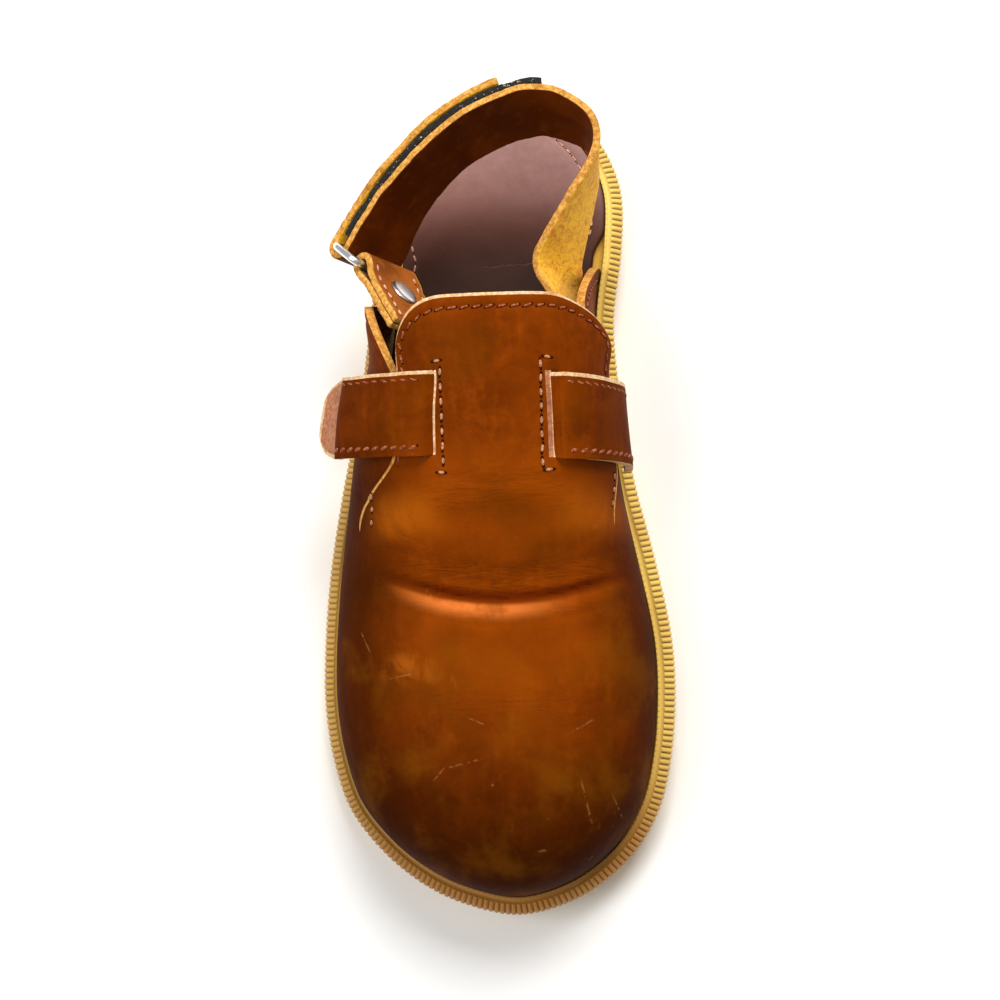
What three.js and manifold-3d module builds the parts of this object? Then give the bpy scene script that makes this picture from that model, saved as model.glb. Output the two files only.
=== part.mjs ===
// A child's leather slingback clog for the right foot, in millimetres, standing on its sole.
// +Y runs from heel to toe, +X to the outer side of the foot, +Z up.
import * as THREE from 'three';
import Module from 'manifold-3d';

const wasm = await Module();
wasm.setup();

// Driving sizes of the shoe
const shoeLength = 206;
const ballWidth = 87.4;
const instepHeight = 64;
const clearance = 0.3;

// Sole
const heelThickness = 8.5;
const foreThickness = 6.5;
const toeSpring = 5.5;
const heelBevel = 1.2;
const archRise = 1.5;
const soleUndercut = 1.8;
const weltOverhang = 0.4;
const weltDepth = 4.4;
const weltHeight = 2.9;
const ribWidth = 2.7;
const ribPitch = 1.45;
const ribDepth = 0.7;
const ribRise = 0.5;
const ribLip = 0.7;
const insoleThickness = 3;

// Upper
const leather = 2;
const flapGap = 0.4;
const toeRoundness = 2.6;

// Straps and fittings
const strapWidth = 20;
const strapThickness = 2.2;
const instepStrapThickness = 2;
const instepStrapWidth = 19;
const hookThickness = 1.2;
const tabWidth = 18;
const tabThickness = 1.6;
const wire = 1.9;
const ringShort = 10.4;
const ringSlack = 0.6;
const rivetCap = 7.6;
const rivetHead = 6;
const rivetShank = 2.6;
const gripSlack = 0.9;
const capRise = 1;
const headRise = 0.5;

// Outline of the sole: along is a share of the length, medial and lateral are shares of the ball width
const outlineRows = [
  { along: 0.012, medial: -0.177, lateral: 0.082 },
  { along: 0.039, medial: -0.27, lateral: 0.177 },
  { along: 0.078, medial: -0.341, lateral: 0.239 },
  { along: 0.131, medial: -0.384, lateral: 0.288 },
  { along: 0.204, medial: -0.381, lateral: 0.33 },
  { along: 0.291, medial: -0.355, lateral: 0.356 },
  { along: 0.388, medial: -0.37, lateral: 0.39 },
  { along: 0.485, medial: -0.404, lateral: 0.438 },
  { along: 0.583, medial: -0.459, lateral: 0.476 },
  { along: 0.68, medial: -0.501, lateral: 0.495 },
  { along: 0.752, medial: -0.505, lateral: 0.495 },
  { along: 0.816, medial: -0.491, lateral: 0.471 },
  { along: 0.874, medial: -0.458, lateral: 0.423 },
  { along: 0.922, medial: -0.396, lateral: 0.335 },
  { along: 0.959, medial: -0.308, lateral: 0.23 },
  { along: 0.985, medial: -0.204, lateral: 0.109 },
];
const heelEnd = { along: 0, across: -0.046 };
const toeEnd = { along: 1, across: -0.057 };

// Sections of the upper: ridge and the two flares past the feather line are shares of the ball width,
// top is a share of the instep height, and the two fullness numbers are superellipse powers
const sectionRows = [
  { along: 0.21, ridge: -0.074, top: 1.0, flareMedial: 0.0, flareLateral: 0.04, fullMedial: 3.0, fullLateral: 3.2 },
  { along: 0.291, ridge: -0.075, top: 0.993, flareMedial: 0.017, flareLateral: 0.03, fullMedial: 2.9, fullLateral: 3.2 },
  { along: 0.34, ridge: -0.082, top: 0.975, flareMedial: 0.058, flareLateral: 0.026, fullMedial: 2.7, fullLateral: 2.8 },
  { along: 0.383, ridge: -0.089, top: 0.957, flareMedial: 0.066, flareLateral: 0.028, fullMedial: 2.5, fullLateral: 2.5 },
  { along: 0.427, ridge: -0.092, top: 0.936, flareMedial: 0.059, flareLateral: 0.03, fullMedial: 2.5, fullLateral: 2.5 },
  { along: 0.485, ridge: -0.092, top: 0.895, flareMedial: 0.048, flareLateral: 0.018, fullMedial: 2.45, fullLateral: 2.45 },
  { along: 0.539, ridge: -0.088, top: 0.84, flareMedial: 0.033, flareLateral: 0.01, fullMedial: 2.45, fullLateral: 2.4 },
  { along: 0.587, ridge: -0.08, top: 0.765, flareMedial: 0.022, flareLateral: 0.007, fullMedial: 2.5, fullLateral: 2.5 },
  { along: 0.626, ridge: -0.075, top: 0.7, flareMedial: 0.015, flareLateral: 0.007, fullMedial: 2.6, fullLateral: 2.6 },
  { along: 0.665, ridge: -0.07, top: 0.695, flareMedial: 0.01, flareLateral: 0.007, fullMedial: 2.6, fullLateral: 2.6 },
  { along: 0.728, ridge: -0.063, top: 0.68, flareMedial: 0.007, flareLateral: 0.007, fullMedial: 2.6, fullLateral: 2.6 },
  { along: 0.85, ridge: -0.058, top: 0.655, flareMedial: 0.007, flareLateral: 0.007, fullMedial: 2.5, fullLateral: 2.5 },
  { along: 1.0, ridge: -0.057, top: 0.63, flareMedial: 0.007, flareLateral: 0.007, fullMedial: 2.4, fullLateral: 2.4 },
];
const toeRoundStart = 0.8;

// Rear edge of each quarter: turn is the angle down from the ridge, along is a share of the length
const quarterRows = {
  medial: [
    { turn: 30, along: 0.385 },
    { turn: 48, along: 0.33 },
    { turn: 62, along: 0.285 },
    { turn: 78, along: 0.25 },
    { turn: 90, along: 0.228 },
  ],
  lateral: [
    { turn: 20, along: 0.45 },
    { turn: 33, along: 0.408 },
    { turn: 41, along: 0.372 },
    { turn: 57, along: 0.301 },
    { turn: 68, along: 0.29 },
    { turn: 80, along: 0.268 },
    { turn: 90, along: 0.236 },
  ],
};

// Flap: its rear edge, its side edges as turns from the ridge, and where its slits end
const flapRear = 0.301;
const flapCorner = 0.064;
const flapCornerStart = 0.3;
const flapCornerPower = 2;
const flapTurnMedial = 55;
const flapTurnLateral = 33;
const slitTurnLateral = 57;
const slitOpen = 0.47;
const slitEnd = 0.551;
const flapRise = 0.065;

// Instep strap: stations across the foot. Turn is the angle from the ridge (lateral is positive),
// layer says under or over the flap, proud is an extra stand-off and wide a share of its width
const instepRows = [
  { turn: 67, layer: 1, proud: 4.2, wide: 0.3 },
  { turn: 65.5, layer: 1, proud: 3.6, wide: 0.62 },
  { turn: 62, layer: 1, proud: 2.6, wide: 0.86 },
  { turn: 57, layer: 1, proud: 2.2, wide: 0.98 },
  { turn: 50, layer: 1, proud: 2.6, wide: 1 },
  { turn: 42, layer: 1, proud: 1.2, wide: 1 },
  { turn: 33, layer: 1, proud: 0.1, wide: 1 },
  { turn: 26, layer: 1, proud: 0, wide: 1 },
  { turn: 21.5, layer: 1, proud: 0, wide: 1 },
  { turn: 19.5, layer: 0.72, proud: 0, wide: 1 },
  { turn: 16.5, layer: 0.26, proud: 0, wide: 1 },
  { turn: 14, layer: 0, proud: 0, wide: 1 },
  { turn: 8, layer: 0, proud: 0, wide: 1 },
  { turn: 0, layer: 0, proud: 0, wide: 1 },
  { turn: -8, layer: 0, proud: 0, wide: 1 },
  { turn: -15, layer: 0, proud: 0, wide: 1 },
  { turn: -18.5, layer: 0.26, proud: 0, wide: 1 },
  { turn: -22.5, layer: 0.72, proud: 0, wide: 1 },
  { turn: -25.5, layer: 1, proud: 0, wide: 1 },
  { turn: -33, layer: 1, proud: 0, wide: 1 },
  { turn: -42, layer: 1, proud: 0, wide: 1 },
  { turn: -50, layer: 1, proud: 0, wide: 1 },
  { turn: -56, layer: 1, proud: 0.1, wide: 1 },
  { turn: -63, layer: 1, proud: -0.4, wide: 1 },
  { turn: -70, layer: 1, proud: -1.2, wide: 1 },
  { turn: -77, layer: 1, proud: -1.6, wide: 1 },
];
const instepAlong = 0.43;
const instepSkew = -0.048;
const lateralSlot = { from: 13, to: 25 };
const medialSlot = { from: -29, to: -14 };

// Heel strap: the middle of its run from the inner quarter round the heel to the ring.
// Across is a share of the ball width, along of the length, up of the instep height,
// lean is degrees outwards at its top edge
const heelStrapRows = [
  { across: -0.243, along: 0.3, up: 0.588, lean: -14 },
  { across: -0.222, along: 0.274, up: 0.595, lean: -25 },
  { across: -0.211, along: 0.2525, up: 0.612, lean: -28 },
  { across: -0.238, along: 0.225, up: 0.642, lean: -21 },
  { across: -0.264, along: 0.2015, up: 0.665, lean: -15 },
  { across: -0.285, along: 0.181, up: 0.685, lean: -9.5 },
  { across: -0.317, along: 0.153, up: 0.702, lean: -3 },
  { across: -0.336, along: 0.124, up: 0.716, lean: 4 },
  { across: -0.318, along: 0.099, up: 0.728, lean: 9 },
  { across: -0.281, along: 0.09, up: 0.74, lean: 14 },
  { across: -0.233, along: 0.08, up: 0.756, lean: 17 },
  { across: -0.188, along: 0.075, up: 0.758, lean: 18 },
  { across: -0.125, along: 0.077, up: 0.758, lean: 18 },
  { across: -0.021, along: 0.093, up: 0.741, lean: 17 },
  { across: 0.056, along: 0.108, up: 0.71, lean: 16 },
  { across: 0.165, along: 0.149, up: 0.662, lean: 18 },
  { across: 0.225, along: 0.18, up: 0.62, lean: 24 },
];
const returnEndRow = 12.2;
const hookEndRow = 10.9;
const hookStartRow = 15.4;
const strapEndAlong = [0.378, 0.36, 0.342];
const strapEndTurn = 60;
const tabAlong = [0.29, 0.303, 0.32, 0.335];
const tabTurn = 67;
const rivetSpots = {
  lateral: { along: 0.301, turn: 67 },
  medial: { along: 0.352, turn: -67 },
};

// Ring: the middle of its opening, its long axis (lean) and its short axis
const ringMiddle = { across: 0.292, along: 0.237, up: 0.566 };
const ringLongAxis = new THREE.Vector3(0.5, -0.1, 0.86).normalize();
const ringShortHint = new THREE.Vector3(0.66, -0.6, -0.45);

// Helpers
const rad = THREE.MathUtils.degToRad;
const clamp = THREE.MathUtils.clamp;
const lerp = THREE.MathUtils.lerp;
const V = (x, y, z) => new THREE.Vector3(x, y, z);
const range = (from, to) => Array.from({ length: to - from + 1 }, (_, i) => from + i);

function smooth(t) {
  const s = clamp(t, 0, 1);
  return s * s * (3 - 2 * s);
}

// Smooth value of one column of a table, read at key
function readRows(rows, keyName, valueName, key) {
  const last = rows.length - 1;
  if (key <= rows[0][keyName]) return rows[0][valueName];
  if (key >= rows[last][keyName]) return rows[last][valueName];
  let k = 0;
  while (rows[k + 1][keyName] < key) k += 1;
  const slope = (i) => {
    const a = rows[Math.max(i - 1, 0)];
    const b = rows[Math.min(i + 1, last)];
    return (b[valueName] - a[valueName]) / (b[keyName] - a[keyName]);
  };
  const h = rows[k + 1][keyName] - rows[k][keyName];
  const t = (key - rows[k][keyName]) / h;
  const a = rows[k][valueName];
  const b = rows[k + 1][valueName];
  const t2 = t * t;
  const t3 = t2 * t;
  return (2 * t3 - 3 * t2 + 1) * a + (t3 - 2 * t2 + t) * h * slope(k)
    + (3 * t2 - 2 * t3) * b + (t3 - t2) * h * slope(k + 1);
}

// Closed outline of the sole and its offsets
const outlineCurve = new THREE.CatmullRomCurve3([
  V(heelEnd.across * ballWidth, 0, 0),
  ...outlineRows.map((r) => V(r.lateral * ballWidth, r.along * shoeLength, 0)),
  V(toeEnd.across * ballWidth, shoeLength, 0),
  ...[...outlineRows].reverse().map((r) => V(r.medial * ballWidth, r.along * shoeLength, 0)),
], true, 'centripetal');
outlineCurve.arcLengthDivisions = 800;

function outlinePoint(share, inset) {
  const p = outlineCurve.getPointAt(share);
  const t = outlineCurve.getTangentAt(share);
  return V(p.x - t.y * inset, p.y + t.x * inset, 0);
}

const edgeCache = new Map();

// Medial and lateral sides of an inset outline, sorted from heel to toe
function edges(inset) {
  const key = inset.toFixed(4);
  if (edgeCache.has(key)) return edgeCache.get(key);
  const samples = 600;
  const points = [];
  for (let i = 0; i < samples; i += 1) points.push(outlinePoint(i / samples, inset));
  let low = 0;
  let high = 0;
  points.forEach((p, i) => {
    if (p.y < points[low].y) low = i;
    if (p.y > points[high].y) high = i;
  });
  const walk = (step) => {
    const side = [];
    for (let i = low; ; i = (i + step + samples) % samples) {
      const p = points[i];
      if (!side.length || p.y > side[side.length - 1].y) side.push(p);
      if (i === high) return side;
    }
  };
  const result = { lateral: walk(1), medial: walk(-1), heel: points[low], toe: points[high] };
  edgeCache.set(key, result);
  return result;
}

function edgeAt(y, side, inset) {
  const rows = edges(inset)[side];
  if (y <= rows[0].y) return rows[0].x;
  if (y >= rows[rows.length - 1].y) return rows[rows.length - 1].x;
  let lo = 0;
  let hi = rows.length - 1;
  while (hi - lo > 1) {
    const mid = (lo + hi) >> 1;
    if (rows[mid].y <= y) lo = mid;
    else hi = mid;
  }
  return lerp(rows[lo].x, rows[hi].x, (y - rows[lo].y) / (rows[hi].y - rows[lo].y));
}

// Heights of the sole
const springStart = 0.72;
const lift = (y) => toeSpring * clamp((y / shoeLength - springStart) / (1 - springStart), 0, 1) ** 2;
const waist = (y) => archRise * smooth((y / shoeLength - 0.29) / 0.06) * smooth((0.49 - y / shoeLength) / 0.06);
const bevel = (y) => heelBevel * (1 - smooth(y / shoeLength / 0.06));
const groundHeight = (y) => lift(y) + waist(y) + bevel(y);
const platform = (y) => lift(y) + lerp(heelThickness, foreThickness, smooth((y / shoeLength - 0.2) / 0.35));

// Triangles of a mesh as plain arrays
class Mesher {
  constructor() {
    this.points = [];
    this.triangles = [];
    this.seen = new Map();
  }

  add(p) {
    const key = `${Math.round(p.x * 1e4)},${Math.round(p.y * 1e4)},${Math.round(p.z * 1e4)}`;
    if (!this.seen.has(key)) {
      this.seen.set(key, this.points.length);
      this.points.push(p.clone());
    }
    return this.seen.get(key);
  }

  triangle(a, b, c) {
    if (a !== b && b !== c && c !== a) this.triangles.push([a, b, c]);
  }

  quad(a, b, c, d) {
    this.triangle(a, b, c);
    this.triangle(a, c, d);
  }

  volume() {
    let sum = 0;
    for (const [a, b, c] of this.triangles) {
      sum += this.points[a].dot(this.points[b].clone().cross(this.points[c]));
    }
    return sum / 6;
  }

  geometry() {
    if (this.volume() < 0) this.triangles = this.triangles.map(([a, b, c]) => [a, c, b]);
    const geometry = new THREE.BufferGeometry();
    geometry.setAttribute('position', new THREE.Float32BufferAttribute(this.points.flatMap((p) => p.toArray()), 3));
    geometry.setIndex(this.triangles.flat());
    return geometry;
  }
}

// Closed wall between two point grids of one layout; keep says which cells are there
function wallBetween(outer, inner, keep = () => true) {
  const skin = new Mesher();
  const innerOf = [];
  const id = outer.map((row, i) => row.map((p, j) => {
    const n = skin.add(p);
    if (!innerOf[n]) innerOf[n] = inner[i][j];
    return n;
  }));
  for (let i = 0; i + 1 < outer.length; i += 1) {
    for (let j = 0; j + 1 < outer[i].length; j += 1) {
      if (keep(i, j)) skin.quad(id[i][j], id[i][j + 1], id[i + 1][j + 1], id[i + 1][j]);
    }
  }
  const mesh = new Mesher();
  const out = skin.points.map((p) => mesh.add(p));
  const back = innerOf.map((p) => mesh.add(p));
  const directed = new Set();
  for (const [a, b, c] of skin.triangles) {
    mesh.triangle(out[a], out[b], out[c]);
    mesh.triangle(back[a], back[c], back[b]);
    directed.add(`${a},${b}`).add(`${b},${c}`).add(`${c},${a}`);
  }
  for (const [a, b, c] of skin.triangles) {
    for (const [p, q] of [[a, b], [b, c], [c, a]]) {
      if (!directed.has(`${q},${p}`)) mesh.quad(out[q], out[p], back[p], back[q]);
    }
  }
  return mesh.geometry();
}

const acrossShares = [-0.5, -0.25, 0, 0.25, 0.5];

// Sheet of even thickness about rows of middle points
function sheet(rows, thickness) {
  const normals = rows.map((row, k) => row.map((p, m) => {
    const before = rows[Math.max(k - 1, 0)][m];
    const after = rows[Math.min(k + 1, rows.length - 1)][m];
    const low = row[Math.max(m - 1, 0)];
    const high = row[Math.min(m + 1, row.length - 1)];
    return after.clone().sub(before).cross(high.clone().sub(low)).normalize();
  }));
  const face = (shift) => rows.map((row, k) => row.map((p, m) => p.clone().addScaledVector(normals[k][m], shift)));
  return wallBetween(face(thickness / 2), face(-thickness / 2));
}

function straightRow(at, up, width) {
  return acrossShares.map((share) => at.clone().addScaledVector(up, share * width));
}

// Geometry with its seam points joined
function welded(geometry) {
  const mesh = new Mesher();
  const position = geometry.getAttribute('position');
  const index = geometry.getIndex();
  const ids = range(0, position.count - 1).map((i) => mesh.add(new THREE.Vector3().fromBufferAttribute(position, i)));
  for (let i = 0; i < index.count; i += 3) {
    mesh.triangle(ids[index.getX(i)], ids[index.getX(i + 1)], ids[index.getX(i + 2)]);
  }
  return mesh.geometry();
}

function solidOf(geometry) {
  const vertProperties = geometry.getAttribute('position').array;
  const triVerts = new Uint32Array(geometry.getIndex().array);
  const mesh = new wasm.Mesh({ numProp: 3, vertProperties, triVerts });
  mesh.merge();
  return new wasm.Manifold(mesh);
}

function geometryOf(solid) {
  const mesh = solid.getMesh();
  const geometry = new THREE.BufferGeometry();
  geometry.setAttribute('position', new THREE.BufferAttribute(new Float32Array(mesh.vertProperties), 3));
  geometry.setIndex([...mesh.triVerts]);
  return geometry;
}

// Sole rings: one point at the heel, one at the toe and pairs between them
function soleRing(inset, height, steps) {
  const insetAt = typeof inset === 'function' ? inset : () => inset;
  const first = edges(insetAt(0)).heel;
  const last = edges(insetAt(shoeLength)).toe;
  const ring = [];
  const stationY = (k) => lerp(first.y, last.y, (1 - Math.cos(Math.PI * k / steps)) / 2);
  for (let k = 0; k <= 2 * steps; k += 1) {
    if (k === 2 * steps) break;
    const station = k <= steps ? k : 2 * steps - k;
    const side = k <= steps ? 'lateral' : 'medial';
    const y = stationY(station);
    let x = edgeAt(y, side, insetAt(y));
    if (station === 0) x = first.x;
    if (station === steps) x = last.x;
    ring.push(V(x, y, height(y)));
  }
  return ring;
}

// Closed solid from stacked rings of the same count, with ladder caps at its ends
function stackRings(rings, steps) {
  const mesh = new Mesher();
  const ids = rings.map((ring) => ring.map((p) => mesh.add(p)));
  const count = 2 * steps;
  for (let r = 0; r + 1 < ids.length; r += 1) {
    for (let k = 0; k < count; k += 1) {
      const n = (k + 1) % count;
      mesh.quad(ids[r][k], ids[r][n], ids[r + 1][n], ids[r + 1][k]);
    }
  }
  const cap = (ring, up) => {
    for (let k = 0; k < steps; k += 1) {
      const a = ring[k];
      const b = ring[k + 1];
      const c = ring[(count - k - 1) % count];
      const d = ring[(count - k) % count];
      if (up) mesh.quad(a, b, c, d);
      else mesh.quad(a, d, c, b);
    }
  };
  cap(ids[0], false);
  cap(ids[ids.length - 1], true);
  return mesh.geometry();
}

const materials = {
  rubber: new THREE.MeshStandardMaterial({ color: 0xd9a441, roughness: 0.55, metalness: 0 }),
  saddle: new THREE.MeshStandardMaterial({ color: 0x7a3a10, roughness: 0.38, metalness: 0 }),
  strap: new THREE.MeshStandardMaterial({ color: 0x6a2f0e, roughness: 0.5, metalness: 0 }),
  insole: new THREE.MeshStandardMaterial({ color: 0x6b4038, roughness: 0.5, metalness: 0 }),
  hook: new THREE.MeshStandardMaterial({ color: 0x141212, roughness: 0.95, metalness: 0 }),
  metal: new THREE.MeshStandardMaterial({ color: 0xc9cbcc, roughness: 0.25, metalness: 1 }),
};

const clog = new THREE.Group();

function addPiece(name, geometry, material) {
  const mesh = new THREE.Mesh(geometry, material);
  mesh.name = name;
  clog.add(mesh);
}

// Outsole: flat heel and forefoot pads, a raised waist, toe spring and a stepped side
const soleSteps = 34;
const sideStep = 0.35;
const outsoleRings = [
  soleRing(soleUndercut, groundHeight, soleSteps),
  soleRing(weltOverhang + 0.5, (y) => lerp(groundHeight(y), platform(y), sideStep), soleSteps),
  soleRing(weltOverhang, (y) => lerp(groundHeight(y), platform(y), 1 - sideStep), soleSteps),
  soleRing(weltOverhang, platform, soleSteps),
];
addPiece('outsole', stackRings(outsoleRings, soleSteps), materials.rubber);

// Welt: a ribbed rim that slopes outwards, with a smooth shelf inside it
const ribCount = Math.round(outlineCurve.getLength() / ribPitch);
const plainCount = 132;

function weltLoop(count, insetAt, height) {
  const loop = [];
  for (let i = 0; i < count; i += 1) {
    const share = i / count;
    const p = outlinePoint(share, insetAt(i));
    loop.push({ share, point: p.setZ(height(p.y)) });
  }
  return loop;
}

function ringSolid(loops) {
  const mesh = new Mesher();
  const ids = loops.map((loop) => loop.map((v) => mesh.add(v.point)));
  loops.forEach((low, r) => {
    const next = (r + 1) % loops.length;
    const high = loops[next];
    let a = 0;
    let b = 0;
    while (a < low.length || b < high.length) {
      const shareA = a < low.length ? (a + 1) / low.length : 2;
      const shareB = b < high.length ? (b + 1) / high.length : 2;
      const i = ids[r][a % low.length];
      const j = ids[next][b % high.length];
      if (shareA <= shareB) {
        mesh.triangle(i, ids[r][(a + 1) % low.length], j);
        a += 1;
      } else {
        mesh.triangle(i, ids[next][(b + 1) % high.length], j);
        b += 1;
      }
    }
  });
  return mesh.geometry();
}

const seat = (y) => platform(y) + clearance;
addPiece('welt', ringSolid([
  weltLoop(plainCount, () => weltDepth, seat),
  weltLoop(plainCount, () => weltOverhang + ribDepth, seat),
  weltLoop(2 * ribCount, (i) => (i % 2 ? ribDepth : 0), (y) => seat(y) + ribLip),
  weltLoop(ribCount, () => ribWidth, (y) => seat(y) + weltHeight + ribRise),
  weltLoop(ribCount, () => ribWidth + ribRise, (y) => seat(y) + weltHeight),
  weltLoop(plainCount, () => weltDepth, (y) => seat(y) + weltHeight),
]), materials.rubber);

// Last: the outer surface of the upper, from a skirt inside the welt up to the ridge
const featherInset = weltDepth + clearance;
const skirtHeight = weltHeight + ribRise;
const toeTip = edges(featherInset).toe;
const section = (name, y) => readRows(sectionRows, 'along', name, y / shoeLength);
const shoulder = (y) => seat(y) + skirtHeight;

function toeFade(y) {
  const start = toeRoundStart * shoeLength;
  const t = clamp((y - start) / (toeTip.y - start), 0, 1);
  return (1 - t ** toeRoundness) ** (1 / toeRoundness);
}

function lastPoint(y, turn) {
  const side = turn < 0 ? 'medial' : 'lateral';
  const sign = turn < 0 ? -1 : 1;
  const feather = y >= toeTip.y ? toeTip.x : edgeAt(y, side, featherInset);
  const fade = toeFade(y);
  const ridge = lerp(toeTip.x, section('ridge', y) * ballWidth, smooth(fade * 1.4));
  const flare = section(turn < 0 ? 'flareMedial' : 'flareLateral', y) * ballWidth * fade;
  const power = 2 / section(turn < 0 ? 'fullMedial' : 'fullLateral', y);
  const angle = rad(Math.min(Math.abs(turn), 90));
  const reach = (feather - ridge) * sign + flare;
  const rise = (section('top', y) * instepHeight - shoulder(y)) * fade;
  const upShare = Math.max(Math.cos(angle), 0) ** power;
  const x = ridge + sign * (reach * Math.sin(angle) ** power - flare * (1 - upShare) ** 2 * Math.sin(angle));
  return V(x, y, shoulder(y) + rise * upShare);
}

function lastNormal(y, turn) {
  const dy = 0.5;
  const dt = 1.5;
  const limited = clamp(turn, -90 + dt, 90 - dt);
  const along = lastPoint(Math.min(y + dy, toeTip.y), turn).sub(lastPoint(y - dy, turn));
  const down = lastPoint(y, limited + dt).sub(lastPoint(y, limited - dt));
  const n = down.cross(along);
  if (y > toeTip.y - 0.05 || n.length() < 1e-6) return V(0, 1, 0);
  n.normalize();
  return Math.abs(turn) >= 90 ? n.setZ(0).normalize() : n;
}

function onLast(y, turn, offset) {
  return lastPoint(y, turn).addScaledVector(lastNormal(y, turn), offset);
}

// Columns of the upper, from the medial skirt to the lateral skirt
const flapColumns = 7;
const sideColumns = 6;
const overlapColumns = 2;

function flapTurn(side, y) {
  if (side < 0) return flapTurnMedial;
  const open = (y / shoeLength - slitOpen) / (slitEnd - slitOpen);
  return lerp(flapTurnLateral, slitTurnLateral, smooth(open));
}

function columnTurn(column, y) {
  const side = Math.sign(column);
  const n = Math.abs(column);
  const edge = flapTurn(side, y);
  if (n <= flapColumns) return side * edge * n / flapColumns;
  return side * Math.min(lerp(edge, 90, (n - flapColumns) / sideColumns), 90);
}

const lastColumn = flapColumns + sideColumns + 1;
const slitY = slitEnd * shoeLength;

// One grid point of the upper; the last column on each side is the foot of the skirt
function upperPair(y, column, offset) {
  const turn = columnTurn(column, y);
  const outer = onLast(y, turn, offset);
  const inner = onLast(y, turn, offset - leather);
  if (Math.abs(column) === lastColumn) {
    outer.z = seat(y) + clearance;
    inner.z = seat(y) + clearance;
  } else if (Math.abs(column) === lastColumn - 1) {
    inner.z = outer.z;
  }
  return { outer, inner };
}

function gridWall(rowCount, columns, yAt, offsetAt, keep) {
  const outer = [];
  const inner = [];
  for (let i = 0; i < rowCount; i += 1) {
    const pairs = columns.map((c) => upperPair(yAt(i, c), c, offsetAt(yAt(i, c), c)));
    outer.push(pairs.map((p) => p.outer));
    inner.push(pairs.map((p) => p.inner));
  }
  return wallBetween(outer, inner, keep);
}

const vampRows = 21;
const flapRows = 11;
const vampY = (k) => lerp(slitY, toeTip.y, Math.sin(Math.PI / 2 * k / vampRows) ** 1.15);

// Rounded rear edge of the flap, with its corners drawn forward
function flapRearY(column) {
  const n = Math.abs(column) / flapColumns;
  const reach = clamp((n - flapCornerStart) / (1 - flapCornerStart), 0, 1);
  const corner = 1 - Math.sqrt(Math.max(0, 1 - reach ** flapCornerPower));
  return shoeLength * (flapRear + flapCorner * corner);
}

const flapOffset = (y) => (leather + flapGap) * smooth((slitEnd - y / shoeLength) / flapRise);
const allColumns = range(-lastColumn, lastColumn);
const vampAndFlap = gridWall(
  flapRows + vampRows + 1,
  allColumns,
  (i, c) => (i < flapRows ? lerp(flapRearY(Math.sign(c) * Math.min(Math.abs(c), flapColumns)), slitY, i / flapRows)
    : vampY(i - flapRows)),
  (y) => flapOffset(y),
  (i, j) => i >= flapRows || (allColumns[j] >= -flapColumns && allColumns[j] < flapColumns),
);

// A quarter reaches two columns under the flap and two rows into the vamp, where they are one skin
function quarter(side) {
  const name = side < 0 ? 'medial' : 'lateral';
  const columns = range(flapColumns - overlapColumns, lastColumn).map((c) => side * c);
  const rows = 12;
  const shared = 2;
  const rearY = (c) => {
    const turn = Math.min(Math.abs(columnTurn(c, 0.4 * shoeLength)), 90);
    return shoeLength * readRows(quarterRows[name], 'turn', 'along', turn);
  };
  return gridWall(
    rows + shared + 1,
    columns,
    (i, c) => (i < rows ? lerp(rearY(c), slitY, i / rows) : vampY(i - rows)),
    () => 0,
  );
}

// Instep strap: a grid of middle points over and under the flap
const underOffset = -instepStrapThickness / 2 - 0.1;
const overOffset = leather + flapGap + clearance + 0.1 + instepStrapThickness / 2;

function instepGrid(rows, spare) {
  return sheet(rows.map((row) => acrossShares.map((share) => {
    const centre = lastPoint(instepAlong * shoeLength, row.turn);
    const width = instepStrapWidth * row.wide + 2 * spare;
    const y = instepAlong * shoeLength + instepSkew * centre.x + share * width;
    return onLast(y, row.turn, lerp(underOffset, overOffset, row.layer) + row.proud);
  })), instepStrapThickness + 2 * spare);
}

// Rivets through the quarters: where each one sits and how much leather it grips
const insideOffset = -leather - clearance - 0.1;
const tabGrip = leather + 2 * (clearance + 0.1 + tabThickness) + gripSlack;
const strapGrip = leather + clearance + 0.1 + strapThickness + gripSlack;

function rivetPlace({ along, turn }, grip) {
  const y = along * shoeLength;
  return { at: onLast(y, turn, -grip / 2), inward: lastNormal(y, turn).negate(), grip };
}

const lateralRivet = rivetPlace(rivetSpots.lateral, tabGrip);
const medialRivet = rivetPlace(rivetSpots.medial, strapGrip);

function rivetHole({ at, inward, grip }) {
  const radius = rivetShank / 2 + clearance;
  const geometry = new THREE.CylinderGeometry(radius, radius, 2 * grip, 20);
  geometry.applyQuaternion(new THREE.Quaternion().setFromUnitVectors(V(0, 1, 0), inward));
  geometry.translate(at.x, at.y, at.z);
  return solidOf(welded(geometry));
}

const inSlot = (slot) => instepRows.filter((r) => r.turn > slot.from && r.turn < slot.to);
const slotSpare = 0.25;
const upperSolid = solidOf(vampAndFlap)
  .add(solidOf(quarter(-1)))
  .add(solidOf(quarter(1)))
  .subtract(solidOf(instepGrid(inSlot(lateralSlot), slotSpare)))
  .subtract(solidOf(instepGrid(inSlot(medialSlot), slotSpare)))
  .subtract(rivetHole(lateralRivet))
  .subtract(rivetHole(medialRivet));
addPiece('upper', geometryOf(upperSolid), materials.saddle);
addPiece('instep_strap', instepGrid(instepRows, 0), materials.saddle);

// Insole: inside the upper in front, out to the welt behind the quarters
const insoleInFront = featherInset + leather + clearance;
const insoleBehind = weltDepth + clearance;
const insoleInset = (y) => lerp(insoleBehind, insoleInFront, smooth((y / shoeLength - 0.175) / 0.035));
const insoleRings = [seat, (y) => seat(y) + insoleThickness]
  .map((height) => soleRing(insoleInset, height, soleSteps));
addPiece('insole', stackRings(insoleRings, soleSteps), materials.insole);

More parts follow.
